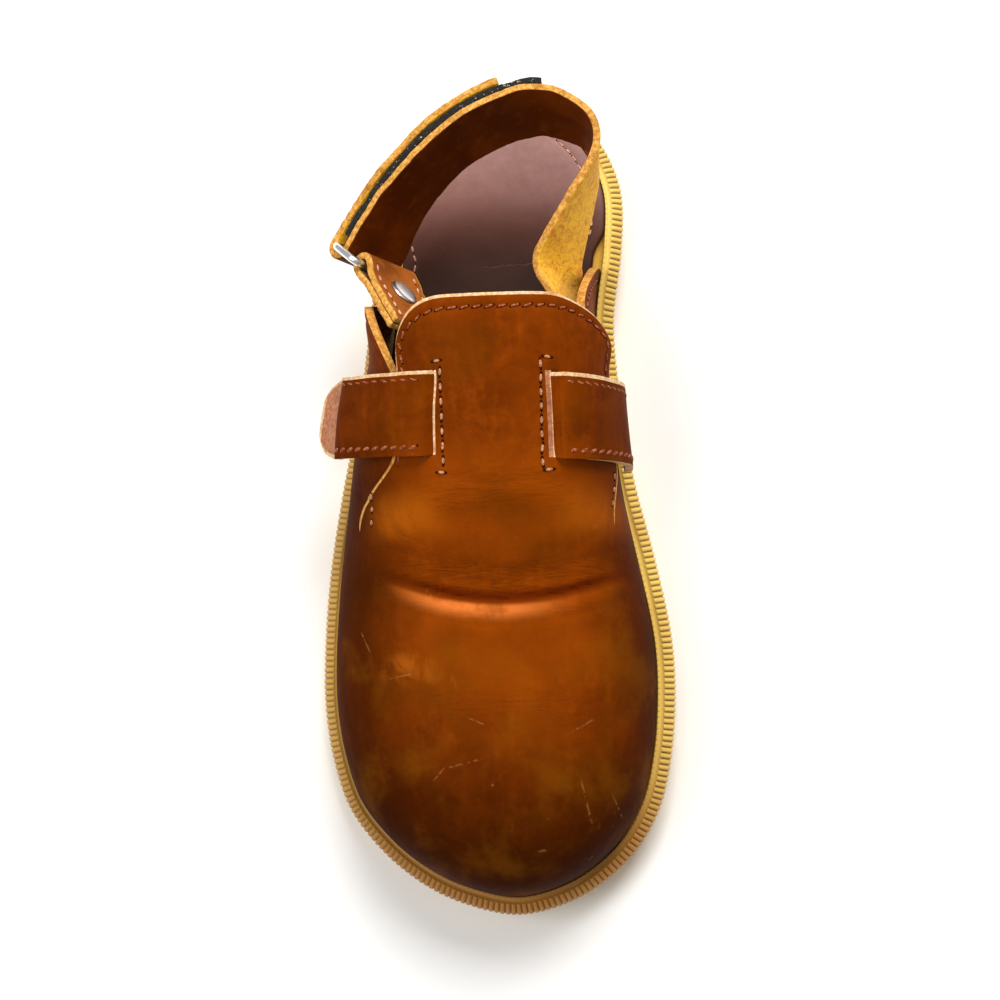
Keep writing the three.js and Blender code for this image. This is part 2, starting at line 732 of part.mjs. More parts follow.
// Ring frame: long axis up the strap's width, short axis across it, run along the strap
const ringUp = ringLongAxis;
const ringOut = ringShortHint.clone().addScaledVector(ringUp, -ringShortHint.dot(ringUp)).normalize();
const ringRun = ringUp.clone().cross(ringOut).normalize();
const spot = (row) => V(row.across * ballWidth, row.along * shoeLength, row.up * instepHeight);
const ringCentre = spot(ringMiddle);
const barOut = ringShort / 2 - wire / 2;
const ringLong = strapWidth + 2 * ringSlack + 2 * wire;
const ringPoint = (run, out, up) => ringCentre.clone()
  .addScaledVector(ringRun, run)
  .addScaledVector(ringOut, out)
  .addScaledVector(ringUp, up);

// Row of points up the inside of a quarter, from below its middle turn to above it
function quarterRow(along, turn, offset, width) {
  const y = along * shoeLength;
  const reach = onLast(y, turn + 4, offset).distanceTo(onLast(y, turn - 4, offset)) / 8;
  return acrossShares.map((share) => onLast(y, turn - Math.sign(turn) * share * width / reach, offset));
}

// Heel strap run as two smooth curves: its middle and its lean
const runCurve = new THREE.CatmullRomCurve3(heelStrapRows.map(spot), false, 'centripetal');
const lastRow = heelStrapRows.length - 1;

function strapRow(row, offset, wide) {
  const t = clamp(row / lastRow, 0, 1);
  const at = runCurve.getPoint(t);
  const run = runCurve.getTangent(t).setZ(0).normalize();
  const outward = V(run.y, -run.x, 0).negate();
  const away = at.clone().sub(V(-0.05 * ballWidth, 0.25 * shoeLength, at.z));
  if (outward.dot(away) < 0) outward.negate();
  const k = Math.min(Math.floor(row), lastRow - 1);
  const lean = rad(lerp(heelStrapRows[k].lean, heelStrapRows[k + 1].lean, row - k));
  const up = outward.clone().multiplyScalar(Math.sin(lean)).setZ(Math.cos(lean));
  const face = outward.clone().multiplyScalar(Math.cos(lean)).setZ(-Math.sin(lean));
  return straightRow(at.addScaledVector(face, offset), up, wide);
}

const layerPitch = strapThickness + hookThickness + 2 * clearance;
const strapInRing = barOut - wire / 2 - clearance - 0.1 - strapThickness / 2;
const turnRadius = barOut - strapInRing;
const ringTurn = range(0, 8).map((k) => {
  const angle = Math.PI * k / 8;
  const at = ringPoint(turnRadius * Math.sin(angle), barOut - turnRadius * Math.cos(angle), 0);
  return straightRow(at, ringUp, strapWidth);
});
const returnSteps = range(0, 12).map((k) => lerp(lastRow - 0.2, returnEndRow, k / 12));
const heelStrap = sheet([
  ...strapEndAlong.map((a) => quarterRow(a, -strapEndTurn, insideOffset - strapThickness / 2, strapWidth)),
  ...range(0, 2 * lastRow).map((k) => strapRow(k / 2, 0, strapWidth)),
  straightRow(ringPoint(-3, strapInRing, 0), ringUp, strapWidth),
  ...ringTurn,
  straightRow(ringPoint(-3, barOut + turnRadius, 0), ringUp, strapWidth),
  ...returnSteps.map((row) => strapRow(row, layerPitch, strapWidth)),
], strapThickness);
addPiece('heel_strap', geometryOf(solidOf(heelStrap).subtract(rivetHole(medialRivet))), materials.strap);

const hookSteps = range(0, 12).map((k) => lerp(hookStartRow, hookEndRow, k / 12));
addPiece('hook_strip', sheet(
  hookSteps.map((row) => strapRow(row, layerPitch / 2, strapWidth - 2)),
  hookThickness,
), materials.hook);

// Wire ring: a rounded rectangle of round wire
const ringShape = new THREE.Path();
const ringCorner = 2;
const halfShort = ringShort / 2 - wire / 2;
const halfLong = ringLong / 2 - wire / 2;
ringShape.moveTo(halfShort, -halfLong + ringCorner);
ringShape.lineTo(halfShort, halfLong - ringCorner);
ringShape.absarc(halfShort - ringCorner, halfLong - ringCorner, ringCorner, 0, Math.PI / 2);
ringShape.lineTo(-halfShort + ringCorner, halfLong);
ringShape.absarc(-halfShort + ringCorner, halfLong - ringCorner, ringCorner, Math.PI / 2, Math.PI);
ringShape.lineTo(-halfShort, -halfLong + ringCorner);
ringShape.absarc(-halfShort + ringCorner, -halfLong + ringCorner, ringCorner, Math.PI, 1.5 * Math.PI);
ringShape.lineTo(halfShort - ringCorner, -halfLong);
ringShape.absarc(halfShort - ringCorner, -halfLong + ringCorner, ringCorner, 1.5 * Math.PI, 2 * Math.PI);

function wireRing() {
  const steps = 56;
  const sides = 8;
  const mesh = new Mesher();
  const loops = range(0, steps - 1).map((k) => {
    const p = ringShape.getPointAt(k / steps);
    const t = ringShape.getTangentAt(k / steps);
    return range(0, sides - 1).map((s) => {
      const angle = 2 * Math.PI * s / sides;
      const across = Math.cos(angle) * wire / 2;
      return mesh.add(ringPoint(Math.sin(angle) * wire / 2, p.x + t.y * across, p.y - t.x * across));
    });
  });
  loops.forEach((loop, k) => {
    const next = loops[(k + 1) % steps];
    loop.forEach((id, s) => {
      const n = (s + 1) % sides;
      mesh.quad(id, loop[n], next[n], next[s]);
    });
  });
  return mesh.geometry();
}

addPiece('ring', wireRing(), materials.metal);

// Ring tab: one leather loop round the ring's inner bar, both legs inside the outer quarter
const tabRadius = wire / 2 + clearance + 0.1 + tabThickness / 2;
const outerLeg = insideOffset - tabThickness / 2;
const innerLeg = outerLeg - tabThickness - clearance - 0.1;
const tabRoot = quarterRow(tabAlong[0], tabTurn, outerLeg, tabWidth)[2];
const tabBar = ringPoint(0, -barOut, 0);
const tabSide = tabRoot.clone().sub(tabBar).cross(ringUp).normalize();
const tabRun = ringUp.clone().cross(tabSide);
const tabRow = (run, side) => straightRow(
  tabBar.clone().addScaledVector(tabRun, run).addScaledVector(tabSide, side),
  ringUp,
  tabWidth,
);
const tabBend = range(0, 6).map((k) => {
  const angle = Math.PI * k / 6;
  return tabRow(-tabRadius * Math.sin(angle), tabRadius * Math.cos(angle));
});
const ringTab = sheet([
  ...[...tabAlong].reverse().map((a) => quarterRow(a, tabTurn, outerLeg, tabWidth)),
  tabRow(wire, tabRadius),
  ...tabBend,
  tabRow(wire, -tabRadius),
  ...tabAlong.map((a) => quarterRow(a, tabTurn, innerLeg, tabWidth)),
], tabThickness);
addPiece('ring_tab', geometryOf(solidOf(ringTab).subtract(rivetHole(lateralRivet))), materials.saddle);

// Rivets: a domed cap inside, a flat head outside and a shank between them
function addRivet(name, { at, inward, grip }) {
  const half = grip / 2 + clearance;
  const cap = rivetCap / 2;
  const head = rivetHead / 2;
  const shank = rivetShank / 2;
  const profile = [
    [0, -half - headRise],
    [head, -half - headRise],
    [head, -half],
    [shank, -half],
    [shank, half],
    [cap, half],
    [cap * 0.9, half + capRise * 0.5],
    [cap * 0.55, half + capRise * 0.9],
    [0, half + capRise],
  ];
  const geometry = new THREE.LatheGeometry(profile.map(([r, h]) => new THREE.Vector2(r, h)), 20);
  geometry.applyQuaternion(new THREE.Quaternion().setFromUnitVectors(V(0, 1, 0), inward));
  geometry.translate(at.x, at.y, at.z);
  addPiece(name, welded(geometry), materials.metal);
}

addRivet('rivet_lateral', lateralRivet);
addRivet('rivet_medial', medialRivet);

// Origin at the middle of the footprint, on the floor
const box = new THREE.Box3().setFromObject(clog);
clog.position.set(-(box.min.x + box.max.x) / 2, -(box.min.y + box.max.y) / 2, -box.min.z);

export default clog;
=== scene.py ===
# Looks of the leather slingback clog: a right shoe of about EU 29.
# Shapes are worked out in millimetres with the heel at y = 0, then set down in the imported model's frame.
import math

import bmesh
import bpy
import numpy as np
from mathutils import Matrix, Vector


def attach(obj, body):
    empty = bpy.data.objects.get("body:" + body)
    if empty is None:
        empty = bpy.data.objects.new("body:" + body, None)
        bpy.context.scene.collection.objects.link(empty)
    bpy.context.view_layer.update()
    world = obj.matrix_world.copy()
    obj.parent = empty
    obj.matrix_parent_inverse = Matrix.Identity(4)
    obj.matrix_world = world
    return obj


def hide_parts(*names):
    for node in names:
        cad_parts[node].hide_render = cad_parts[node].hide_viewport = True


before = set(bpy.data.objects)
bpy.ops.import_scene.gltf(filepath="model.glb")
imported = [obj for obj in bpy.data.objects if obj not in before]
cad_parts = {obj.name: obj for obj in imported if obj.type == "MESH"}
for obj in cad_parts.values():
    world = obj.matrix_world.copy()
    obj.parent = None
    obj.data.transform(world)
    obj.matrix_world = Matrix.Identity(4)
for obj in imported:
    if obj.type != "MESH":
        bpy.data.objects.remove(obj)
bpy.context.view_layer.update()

# Driving sizes, as in the part's source, but for the looser heel strap and its hook strip
SHOE_LENGTH = 206.0
BALL_WIDTH = 87.4
INSTEP_HEIGHT = 64.0
CLEARANCE = 0.3
HEEL_THICKNESS = 8.5
FORE_THICKNESS = 6.5
TOE_SPRING = 5.5
HEEL_BEVEL = 1.2
ARCH_RISE = 1.5
WELT_DEPTH = 4.4
WELT_HEIGHT = 2.9
RIB_PITCH = 1.45
RIB_RISE = 0.5
INSOLE_THICKNESS = 3.0
LEATHER = 2.0
FLAP_GAP = 0.4
TOE_ROUNDNESS = 2.6
STRAP_WIDTH = 20.0
STRAP_THICKNESS = 1.8
INSTEP_STRAP_THICKNESS = 2.0
INSTEP_STRAP_WIDTH = 19.0
HOOK_THICKNESS = 1.6
TAB_WIDTH = 18.0
TAB_THICKNESS = 1.6
WIRE = 1.9
RING_SHORT = 10.4
RING_SLACK = 0.6
RIVET_CAP = 7.6
GRIP_SLACK = 0.9
HAIR = 0.1
FOOT_X = -6
OUTLINE_STEPS = 4000
SHARES = np.arange(OUTLINE_STEPS) / OUTLINE_STEPS

# Outline of the sole: share along, then medial and lateral shares of the ball width
OUTLINE = [
    (0.012, -0.177, 0.082), (0.039, -0.27, 0.177), (0.078, -0.341, 0.239), (0.131, -0.384, 0.288),
    (0.204, -0.381, 0.33), (0.291, -0.355, 0.356), (0.388, -0.37, 0.39), (0.485, -0.404, 0.438),
    (0.583, -0.459, 0.476), (0.68, -0.501, 0.495), (0.752, -0.505, 0.495), (0.816, -0.491, 0.471),
    (0.874, -0.458, 0.423), (0.922, -0.396, 0.335), (0.959, -0.308, 0.23), (0.985, -0.204, 0.109),
]
HEEL_END = (0.0, -0.046)
TOE_END = (1.0, -0.057)

# Sections of the upper: along, ridge, top, flare medial, flare lateral, fullness medial, fullness lateral
SECTIONS = np.array([
    (0.21, -0.074, 1.0, 0.0, 0.04, 3.0, 3.2), (0.291, -0.075, 0.993, 0.017, 0.03, 2.9, 3.2),
    (0.34, -0.082, 0.975, 0.058, 0.026, 2.7, 2.8), (0.383, -0.089, 0.957, 0.066, 0.028, 2.5, 2.5),
    (0.427, -0.092, 0.936, 0.059, 0.03, 2.5, 2.5), (0.485, -0.092, 0.895, 0.048, 0.018, 2.45, 2.45),
    (0.539, -0.088, 0.84, 0.033, 0.01, 2.45, 2.4), (0.587, -0.08, 0.765, 0.022, 0.007, 2.5, 2.5),
    (0.626, -0.075, 0.7, 0.015, 0.007, 2.6, 2.6), (0.665, -0.07, 0.695, 0.01, 0.007, 2.6, 2.6),
    (0.728, -0.063, 0.68, 0.007, 0.007, 2.6, 2.6), (0.85, -0.058, 0.655, 0.007, 0.007, 2.5, 2.5),
    (1.0, -0.057, 0.63, 0.007, 0.007, 2.4, 2.4),
])
RIDGE, TOP, FLARE_MEDIAL, FLARE_LATERAL, FULL_MEDIAL, FULL_LATERAL = range(1, 7)
TOE_ROUND_START = 0.8

# Rear edges of the quarters: turn down from the ridge, share along
QUARTER_MEDIAL = np.array([(30, 0.385), (48, 0.33), (62, 0.285), (78, 0.25), (90, 0.228)])
QUARTER_LATERAL = np.array([
    (20, 0.45), (33, 0.408), (41, 0.372), (57, 0.301), (68, 0.29), (80, 0.268), (90, 0.236),
])
FLAP_REAR = 0.301
FLAP_CORNER = 0.064
FLAP_CORNER_START = 0.3
FLAP_TURN_MEDIAL = 55.0
FLAP_TURN_LATERAL = 33.0
FLAP_FLARE = 1.6
SLIT_TURN_LATERAL = 57.0
SLIT_OPEN = 0.47
SLIT_END = 0.551
FLAP_RISE = 0.065
FLANK_MEDIAL = 32
FLANK_LATERAL = 24
REAR_SLOPE = 0.92
STITCH_INSET = 2.8
SIDE_END = 0.94
STRAP_REAR_Y = 79
SLOT_MIDDLE_Y = 88.6
SLOT_ROW_Y = (76.6, 101.6)

# Instep strap: turn, layer (1 over the flap, 0 under it), stand-off, share of width
INSTEP_ROWS = np.array([
    (67, 1, 4.4, 0.3), (66.6, 1, 4.3, 0.47), (65.5, 1, 3.8, 0.66), (64, 1, 3.2, 0.79), (62, 1, 2.6, 0.89),
    (58.5, 1, 2.0, 0.96), (56, 1, 2.1, 1), (53.6, 1, 2.7, 1), (51, 1, 2.6, 1), (44, 1, 1.4, 1),
    (33, 1, 0.1, 1), (26, 1, 0, 1), (22.4, 1, 0, 1), (21.2, 0.93, 0, 1), (20.1, 0.7, 0, 1), (18.9, 0.36, 0, 1),
    (17.2, 0.1, 0, 1), (15, 0, 0, 1), (8, 0, 0, 1), (0, 0, 0, 1), (-8, 0, 0, 1), (-14, 0, 0, 1),
    (-16.4, 0.1, 0, 1), (-18, 0.36, 0, 1), (-19.2, 0.7, 0, 1), (-20.3, 0.93, 0, 1), (-21.6, 1, 0, 1),
    (-33, 1, 0, 1), (-42, 1, 0, 1), (-50, 1, 0, 1), (-56, 1, 0.1, 1), (-63, 1, -0.4, 1),
    (-70, 1, -1.2, 1), (-77, 1, -1.6, 1),
])
SLOT_TURNS = ((18.2, 26.0), (-30.0, -17.4))
INSTEP_ALONG = 0.43
INSTEP_SKEW = -0.048

# Heel strap: across, along, up, lean outwards in degrees
HEEL_ROWS = np.array([
    (-0.243, 0.3, 0.588, -10), (-0.222, 0.274, 0.595, -17), (-0.211, 0.2525, 0.612, -29),
    (-0.238, 0.225, 0.642, -21), (-0.264, 0.2015, 0.665, -15), (-0.285, 0.181, 0.685, -9.5),
    (-0.317, 0.153, 0.702, -3), (-0.336, 0.124, 0.716, 4), (-0.318, 0.099, 0.728, 9),
    (-0.281, 0.09, 0.74, 14), (-0.233, 0.08, 0.756, 17), (-0.188, 0.075, 0.758, 18),
    (-0.125, 0.077, 0.758, 18), (-0.021, 0.093, 0.741, 17), (0.056, 0.108, 0.71, 16),
    (0.165, 0.149, 0.662, 18), (0.225, 0.18, 0.62, 24),
])
RETURN_END = 12.2
HOOK_END = 10.9
HOOK_START = 15.4
STRAP_END_ALONG = (0.378, 0.36, 0.342)
STRAP_END_TURN = 60.0
RIVET_MEDIAL = (0.352, -67.0)
RING_MIDDLE = (0.292, 0.237, 0.566)


# Measuring

def smooth(t):
    s = np.clip(t, 0, 1)
    return s * s * (3 - 2 * s)


def lerp(a, b, t):
    return a + (b - a) * t


def unit(v):
    return v / np.maximum(np.linalg.norm(v, axis=-1, keepdims=True), 1e-9)


def hermite(t, a, run_a, b, run_b):
    """Cubic from a to b, with its direction at both ends."""
    return ((2 * t**3 - 3 * t**2 + 1) * a + (t**3 - 2 * t**2 + t) * run_a
            + (3 * t**2 - 2 * t**3) * b + (t**3 - t**2) * run_b)


def centripetal(a, b, c, d, t):
    """Curve from b to c at shares t; a and d are the points before and after."""
    ta, tb, tc = [np.linalg.norm(q - p, axis=-1, keepdims=True)**0.5 for p, q in ((a, b), (b, c), (c, d))]
    m0 = ((b - a) / ta - (c - a) / (ta + tb) + (c - b) / tb) * tb
    m1 = ((c - b) / tb - (d - b) / (tb + tc) + (d - c) / tc) * tb
    return hermite(t, b, m0, c, m1)


def run_along(points):
    return np.concatenate([[0], np.cumsum(np.linalg.norm(np.diff(points, axis=0), axis=1))])


def read_line(at, run, points):
    """Points of a line at the given runs along it."""
    return np.stack([np.interp(at, run, column) for column in np.asarray(points).T], axis=-1)


def read_rows(rows, column, key):
    """Smooth value of one column of a table, read at key, which is column 0."""
    keys = rows[:, 0]
    values = rows[:, column]
    order = np.arange(len(keys))
    before = np.maximum(order - 1, 0)
    after = np.minimum(order + 1, len(keys) - 1)
    slopes = (values[after] - values[before]) / (keys[after] - keys[before])
    key = np.clip(key, keys[0], keys[-1])
    k = np.clip(np.searchsorted(keys, key, side="right") - 1, 0, len(keys) - 2)
    h = keys[k + 1] - keys[k]
    t = (key - keys[k]) / h
    return hermite(t, values[k], h * slopes[k], values[k + 1], h * slopes[k + 1])


def closed_curve(points, steps):
    """Curve through a ring of points, evenly spaced: its points, tangents and length."""
    p = np.asarray(points, float)
    t = np.linspace(0, 1, 64, endpoint=False)[:, None]
    dense = np.vstack([centripetal(p[i - 1], p[i], p[(i + 1) % len(p)], p[(i + 2) % len(p)], t)
                       for i in range(len(p))])
    closed = np.vstack([dense, dense[:1]])
    run = run_along(closed)
    even = read_line(np.linspace(0, run[-1], steps, endpoint=False), run, closed)
    tangent = unit(np.roll(even, -2, axis=0) - np.roll(even, 2, axis=0))
    return even, tangent, run[-1]


RING_POINTS = ([(HEEL_END[1] * BALL_WIDTH, 0)]
               + [(lat * BALL_WIDTH, s * SHOE_LENGTH) for s, med, lat in OUTLINE]
               + [(TOE_END[1] * BALL_WIDTH, SHOE_LENGTH)]
               + [(med * BALL_WIDTH, s * SHOE_LENGTH) for s, med, lat in reversed(OUTLINE)])
EDGE, EDGE_RUN, EDGE_LENGTH = closed_curve(RING_POINTS, OUTLINE_STEPS)


def outline_at(share, inset):
    """Points of the sole's outline, moved inwards; share runs round from the heel."""
    at = (np.asarray(share) % 1.0) * len(EDGE)
    low = np.floor(at).astype(int)
    part = (at - low)[..., None]
    p = lerp(EDGE[low % len(EDGE)], EDGE[(low + 1) % len(EDGE)], part)
    t = unit(lerp(EDGE_RUN[low % len(EDGE)], EDGE_RUN[(low + 1) % len(EDGE)], part))
    inset = np.broadcast_to(inset, p.shape[:-1])
    return np.stack([p[..., 0] - t[..., 1] * inset, p[..., 1] + t[..., 0] * inset], axis=-1)


def sides_of(inset):
    """The inset outline as two tables of x by y, with its toe."""
    ring = outline_at(SHARES, inset)
    low = int(np.argmin(ring[:, 1]))
    high = int(np.argmax(ring[:, 1]))

    def walk(step):
        kept = []
        i = low
        while True:
            if not kept or ring[i, 1] > kept[-1][1]:
                kept.append(tuple(ring[i]))
            if i == high:
                return np.array(kept)
            i = (i + step) % len(ring)

    return {"lateral": walk(1), "medial": walk(-1), "toe": ring[high]}


FEATHER = sides_of(WELT_DEPTH + CLEARANCE)
TOE_X, TOE_Y = FEATHER["toe"]
SKIRT_HEIGHT = WELT_HEIGHT + RIB_RISE
SLIT_Y = SLIT_END * SHOE_LENGTH


def lift(y):
    return TOE_SPRING * np.clip((y / SHOE_LENGTH - 0.72) / 0.28, 0, 1)**2


def ground(y):
    s = y / SHOE_LENGTH
    waist = ARCH_RISE * smooth((s - 0.29) / 0.06) * smooth((0.49 - s) / 0.06)
    return lift(y) + waist + HEEL_BEVEL * (1 - smooth(s / 0.06))


def platform(y):
    return lift(y) + lerp(HEEL_THICKNESS, FORE_THICKNESS, smooth((y / SHOE_LENGTH - 0.2) / 0.35))


def seat(y):
    return platform(y) + CLEARANCE


def section(column, y):
    return read_rows(SECTIONS, column, y / SHOE_LENGTH)


def last_point(y, turn):
    """Outer surface of the last: turn is degrees down from the ridge, lateral is positive."""
    y, turn = np.broadcast_arrays(np.asarray(y, float), np.asarray(turn, float))
    medial = turn < 0
    sign = np.where(medial, -1.0, 1.0)
    feather = np.where(medial, np.interp(y, FEATHER["medial"][:, 1], FEATHER["medial"][:, 0]),
                       np.interp(y, FEATHER["lateral"][:, 1], FEATHER["lateral"][:, 0]))
    start = TOE_ROUND_START * SHOE_LENGTH
    t = np.clip((y - start) / (TOE_Y - start), 0, 1)
    fade = np.maximum(1 - t**TOE_ROUNDNESS, 0)**(1 / TOE_ROUNDNESS)
    ridge = lerp(TOE_X, section(RIDGE, y) * BALL_WIDTH, smooth(fade * 1.4))
    flare = np.where(medial, section(FLARE_MEDIAL, y), section(FLARE_LATERAL, y)) * BALL_WIDTH * fade
    power = 2 / np.where(medial, section(FULL_MEDIAL, y), section(FULL_LATERAL, y))
    angle = np.radians(np.minimum(np.abs(turn), 90))
    shoulder = seat(y) + SKIRT_HEIGHT
    reach = (feather - ridge) * sign + flare
    rise = (section(TOP, y) * INSTEP_HEIGHT - shoulder) * fade
    up = np.maximum(np.cos(angle), 0)**power
    x = ridge + sign * (reach * np.sin(angle)**power - flare * (1 - up)**2 * np.sin(angle))
    return np.stack([x, y, shoulder + rise * up], axis=-1)


def last_normal(y, turn):
    y, turn = np.broadcast_arrays(np.asarray(y, float), np.asarray(turn, float))
    limited = np.clip(turn, -88.5, 88.5)
    along = last_point(np.minimum(y + 0.5, TOE_Y), turn) - last_point(y - 0.5, turn)
    down = last_point(y, limited + 1.5) - last_point(y, limited - 1.5)
    n = np.cross(down, along)
    flat = (y > TOE_Y - 0.05) | (np.linalg.norm(n, axis=-1) < 1e-6)
    n = unit(n)
    n[np.abs(turn) >= 90, 2] = 0
    n = unit(n)
    n[flat] = (0, 1, 0)
    return n


def on_last(y, turn, offset):
    return last_point(y, turn) + last_normal(y, turn) * np.asarray(offset)[..., None]


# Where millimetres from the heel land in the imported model's frame
RIM = outline_at(SHARES, 0.0)
SHIFT = np.append(-(RIM.min(axis=0) + RIM.max(axis=0)) / 2, 0.0)
TO_FRAME = Matrix.Scale(0.001, 4) @ Matrix.Translation(Vector(SHIFT))


# Shader writing

class Value:
    """A shader socket whose arithmetic adds Math nodes."""

    def __init__(self, paint, socket):
        self.paint = paint
        self.socket = socket

    def math(self, operation, *values):
        return self.paint.node("Math", {"operation": operation}, dict(enumerate(values)))

    def __add__(self, other):
        return self.math("ADD", self, other)

    __radd__ = __add__

    def __sub__(self, other):
        return self.math("SUBTRACT", self, other)

    def __rsub__(self, other):
        return self.math("SUBTRACT", other, self)

    def __mul__(self, other):
        return self.math("MULTIPLY", self, other)

    __rmul__ = __mul__

    def __truediv__(self, other):
        return self.math("DIVIDE", self, other)

    def __abs__(self):
        return self.math("ABSOLUTE", self)

    def high(self, other):
        return self.math("MAXIMUM", self, other)

    def fade(self, start, end):
        """0 at start and 1 at end, smoothly."""
        return self.paint.node("MapRange", {"interpolation_type": "SMOOTHSTEP"},
                               {"Value": self, "From Min": start, "From Max": end})


class Paint:
    """One material and the nodes that feed it."""

    def __init__(self, name):
        self.material = bpy.data.materials.new(name)
        self.material.use_nodes = True
        self.tree = self.material.node_tree
        self.shader = self.tree.nodes["Principled BSDF"]
        self.place = self.node("TexCoord", out="Object")
        self.x, self.y, self.z = self.parts(self.place)

    def node(self, kind, settings=None, values=None, out=0):
        made = self.tree.nodes.new("ShaderNode" + kind)
        for key, setting in (settings or {}).items():
            setattr(made, key, setting)
        for key, value in (values or {}).items():
            self.feed(made.inputs[key], value)
        return Value(self, made.outputs[out])

    def feed(self, socket, value):
        if isinstance(value, Value):
            self.tree.links.new(value.socket, socket)
        elif isinstance(value, tuple) and len(value) == 3 and socket.type == "RGBA":
            socket.default_value = (*value, 1.0)
        else:
            socket.default_value = value

    def plan(self):
        """x and y in millimetres, with the heel at y = 0."""
        return self.x * 1000 - float(SHIFT[0]), self.y * 1000 - float(SHIFT[1])

    def parts(self, vector):
        split = self.node("SeparateXYZ", values={0: vector})
        return [Value(self, s) for s in split.socket.node.outputs]

    def mix(self, factor, first, second):
        return self.node("Mix", {"data_type": "RGBA"}, {0: factor, 6: first, 7: second}, out=2)

    def noise(self, size, detail=3.0, rough=0.5, twist=0.0, stretch=(1, 1, 1), shift=(0, 0, 0)):
        """Noise with blobs of about size metres."""
        where = self.place
        if stretch != (1, 1, 1) or shift != (0, 0, 0):
            where = self.node("Mapping", values={"Vector": where, "Scale": stretch, "Location": shift})
        return self.node("TexNoise", values={"Vector": where, "Scale": 1 / size, "Detail": detail,
                                             "Roughness": rough, "Distortion": twist})

    def cells(self, size):
        return self.node("TexVoronoi", {"feature": "SMOOTH_F1"},
                         {"Vector": self.place, "Scale": 1 / size, "Smoothness": 0.8}, out="Distance")

    def attribute(self, name):
        return self.node("Attribute", {"attribute_name": name}, out="Fac")

    def bump(self, height, distance, strength=1.0, below=None):
        values = {"Height": height, "Distance": distance, "Strength": strength}
        if below is not None:
            values["Normal"] = below
        return self.node("Bump", values=values)

    def finish(self, **sockets):
        for key, value in sockets.items():
            self.feed(self.shader.inputs[key.replace("_", " ")], value)
        return self.material


def along_line(paint, start, end, width):
    """1 on a straight scratch between two points of the ground plan in millimetres, fading at its sides."""
    (x0, y0), (x1, y1) = [np.array(p) + SHIFT[:2] for p in (start, end)]
    length = math.hypot(x1 - x0, y1 - y0)
    ux, uy = (x1 - x0) / length, (y1 - y0) / length
    px = paint.x * 1000 - x0
    py = paint.y * 1000 - y0
    run = px * ux + py * uy
    off = abs(px * uy - py * ux)
    inside = abs(run - length / 2).fade(length / 2, length / 2 * 0.6)
    return off.fade(width, 0.0) * inside


# Materials

CREASE_Y = 131.2
CREASE_CURL = 0.0072
WARM = (1.0, 0.65, 0.4, 1.0)
PINKISH = (1.0, 0.85, 0.8, 1.0)
GOLDEN = (1.0, 0.75, 0.35, 1.0)


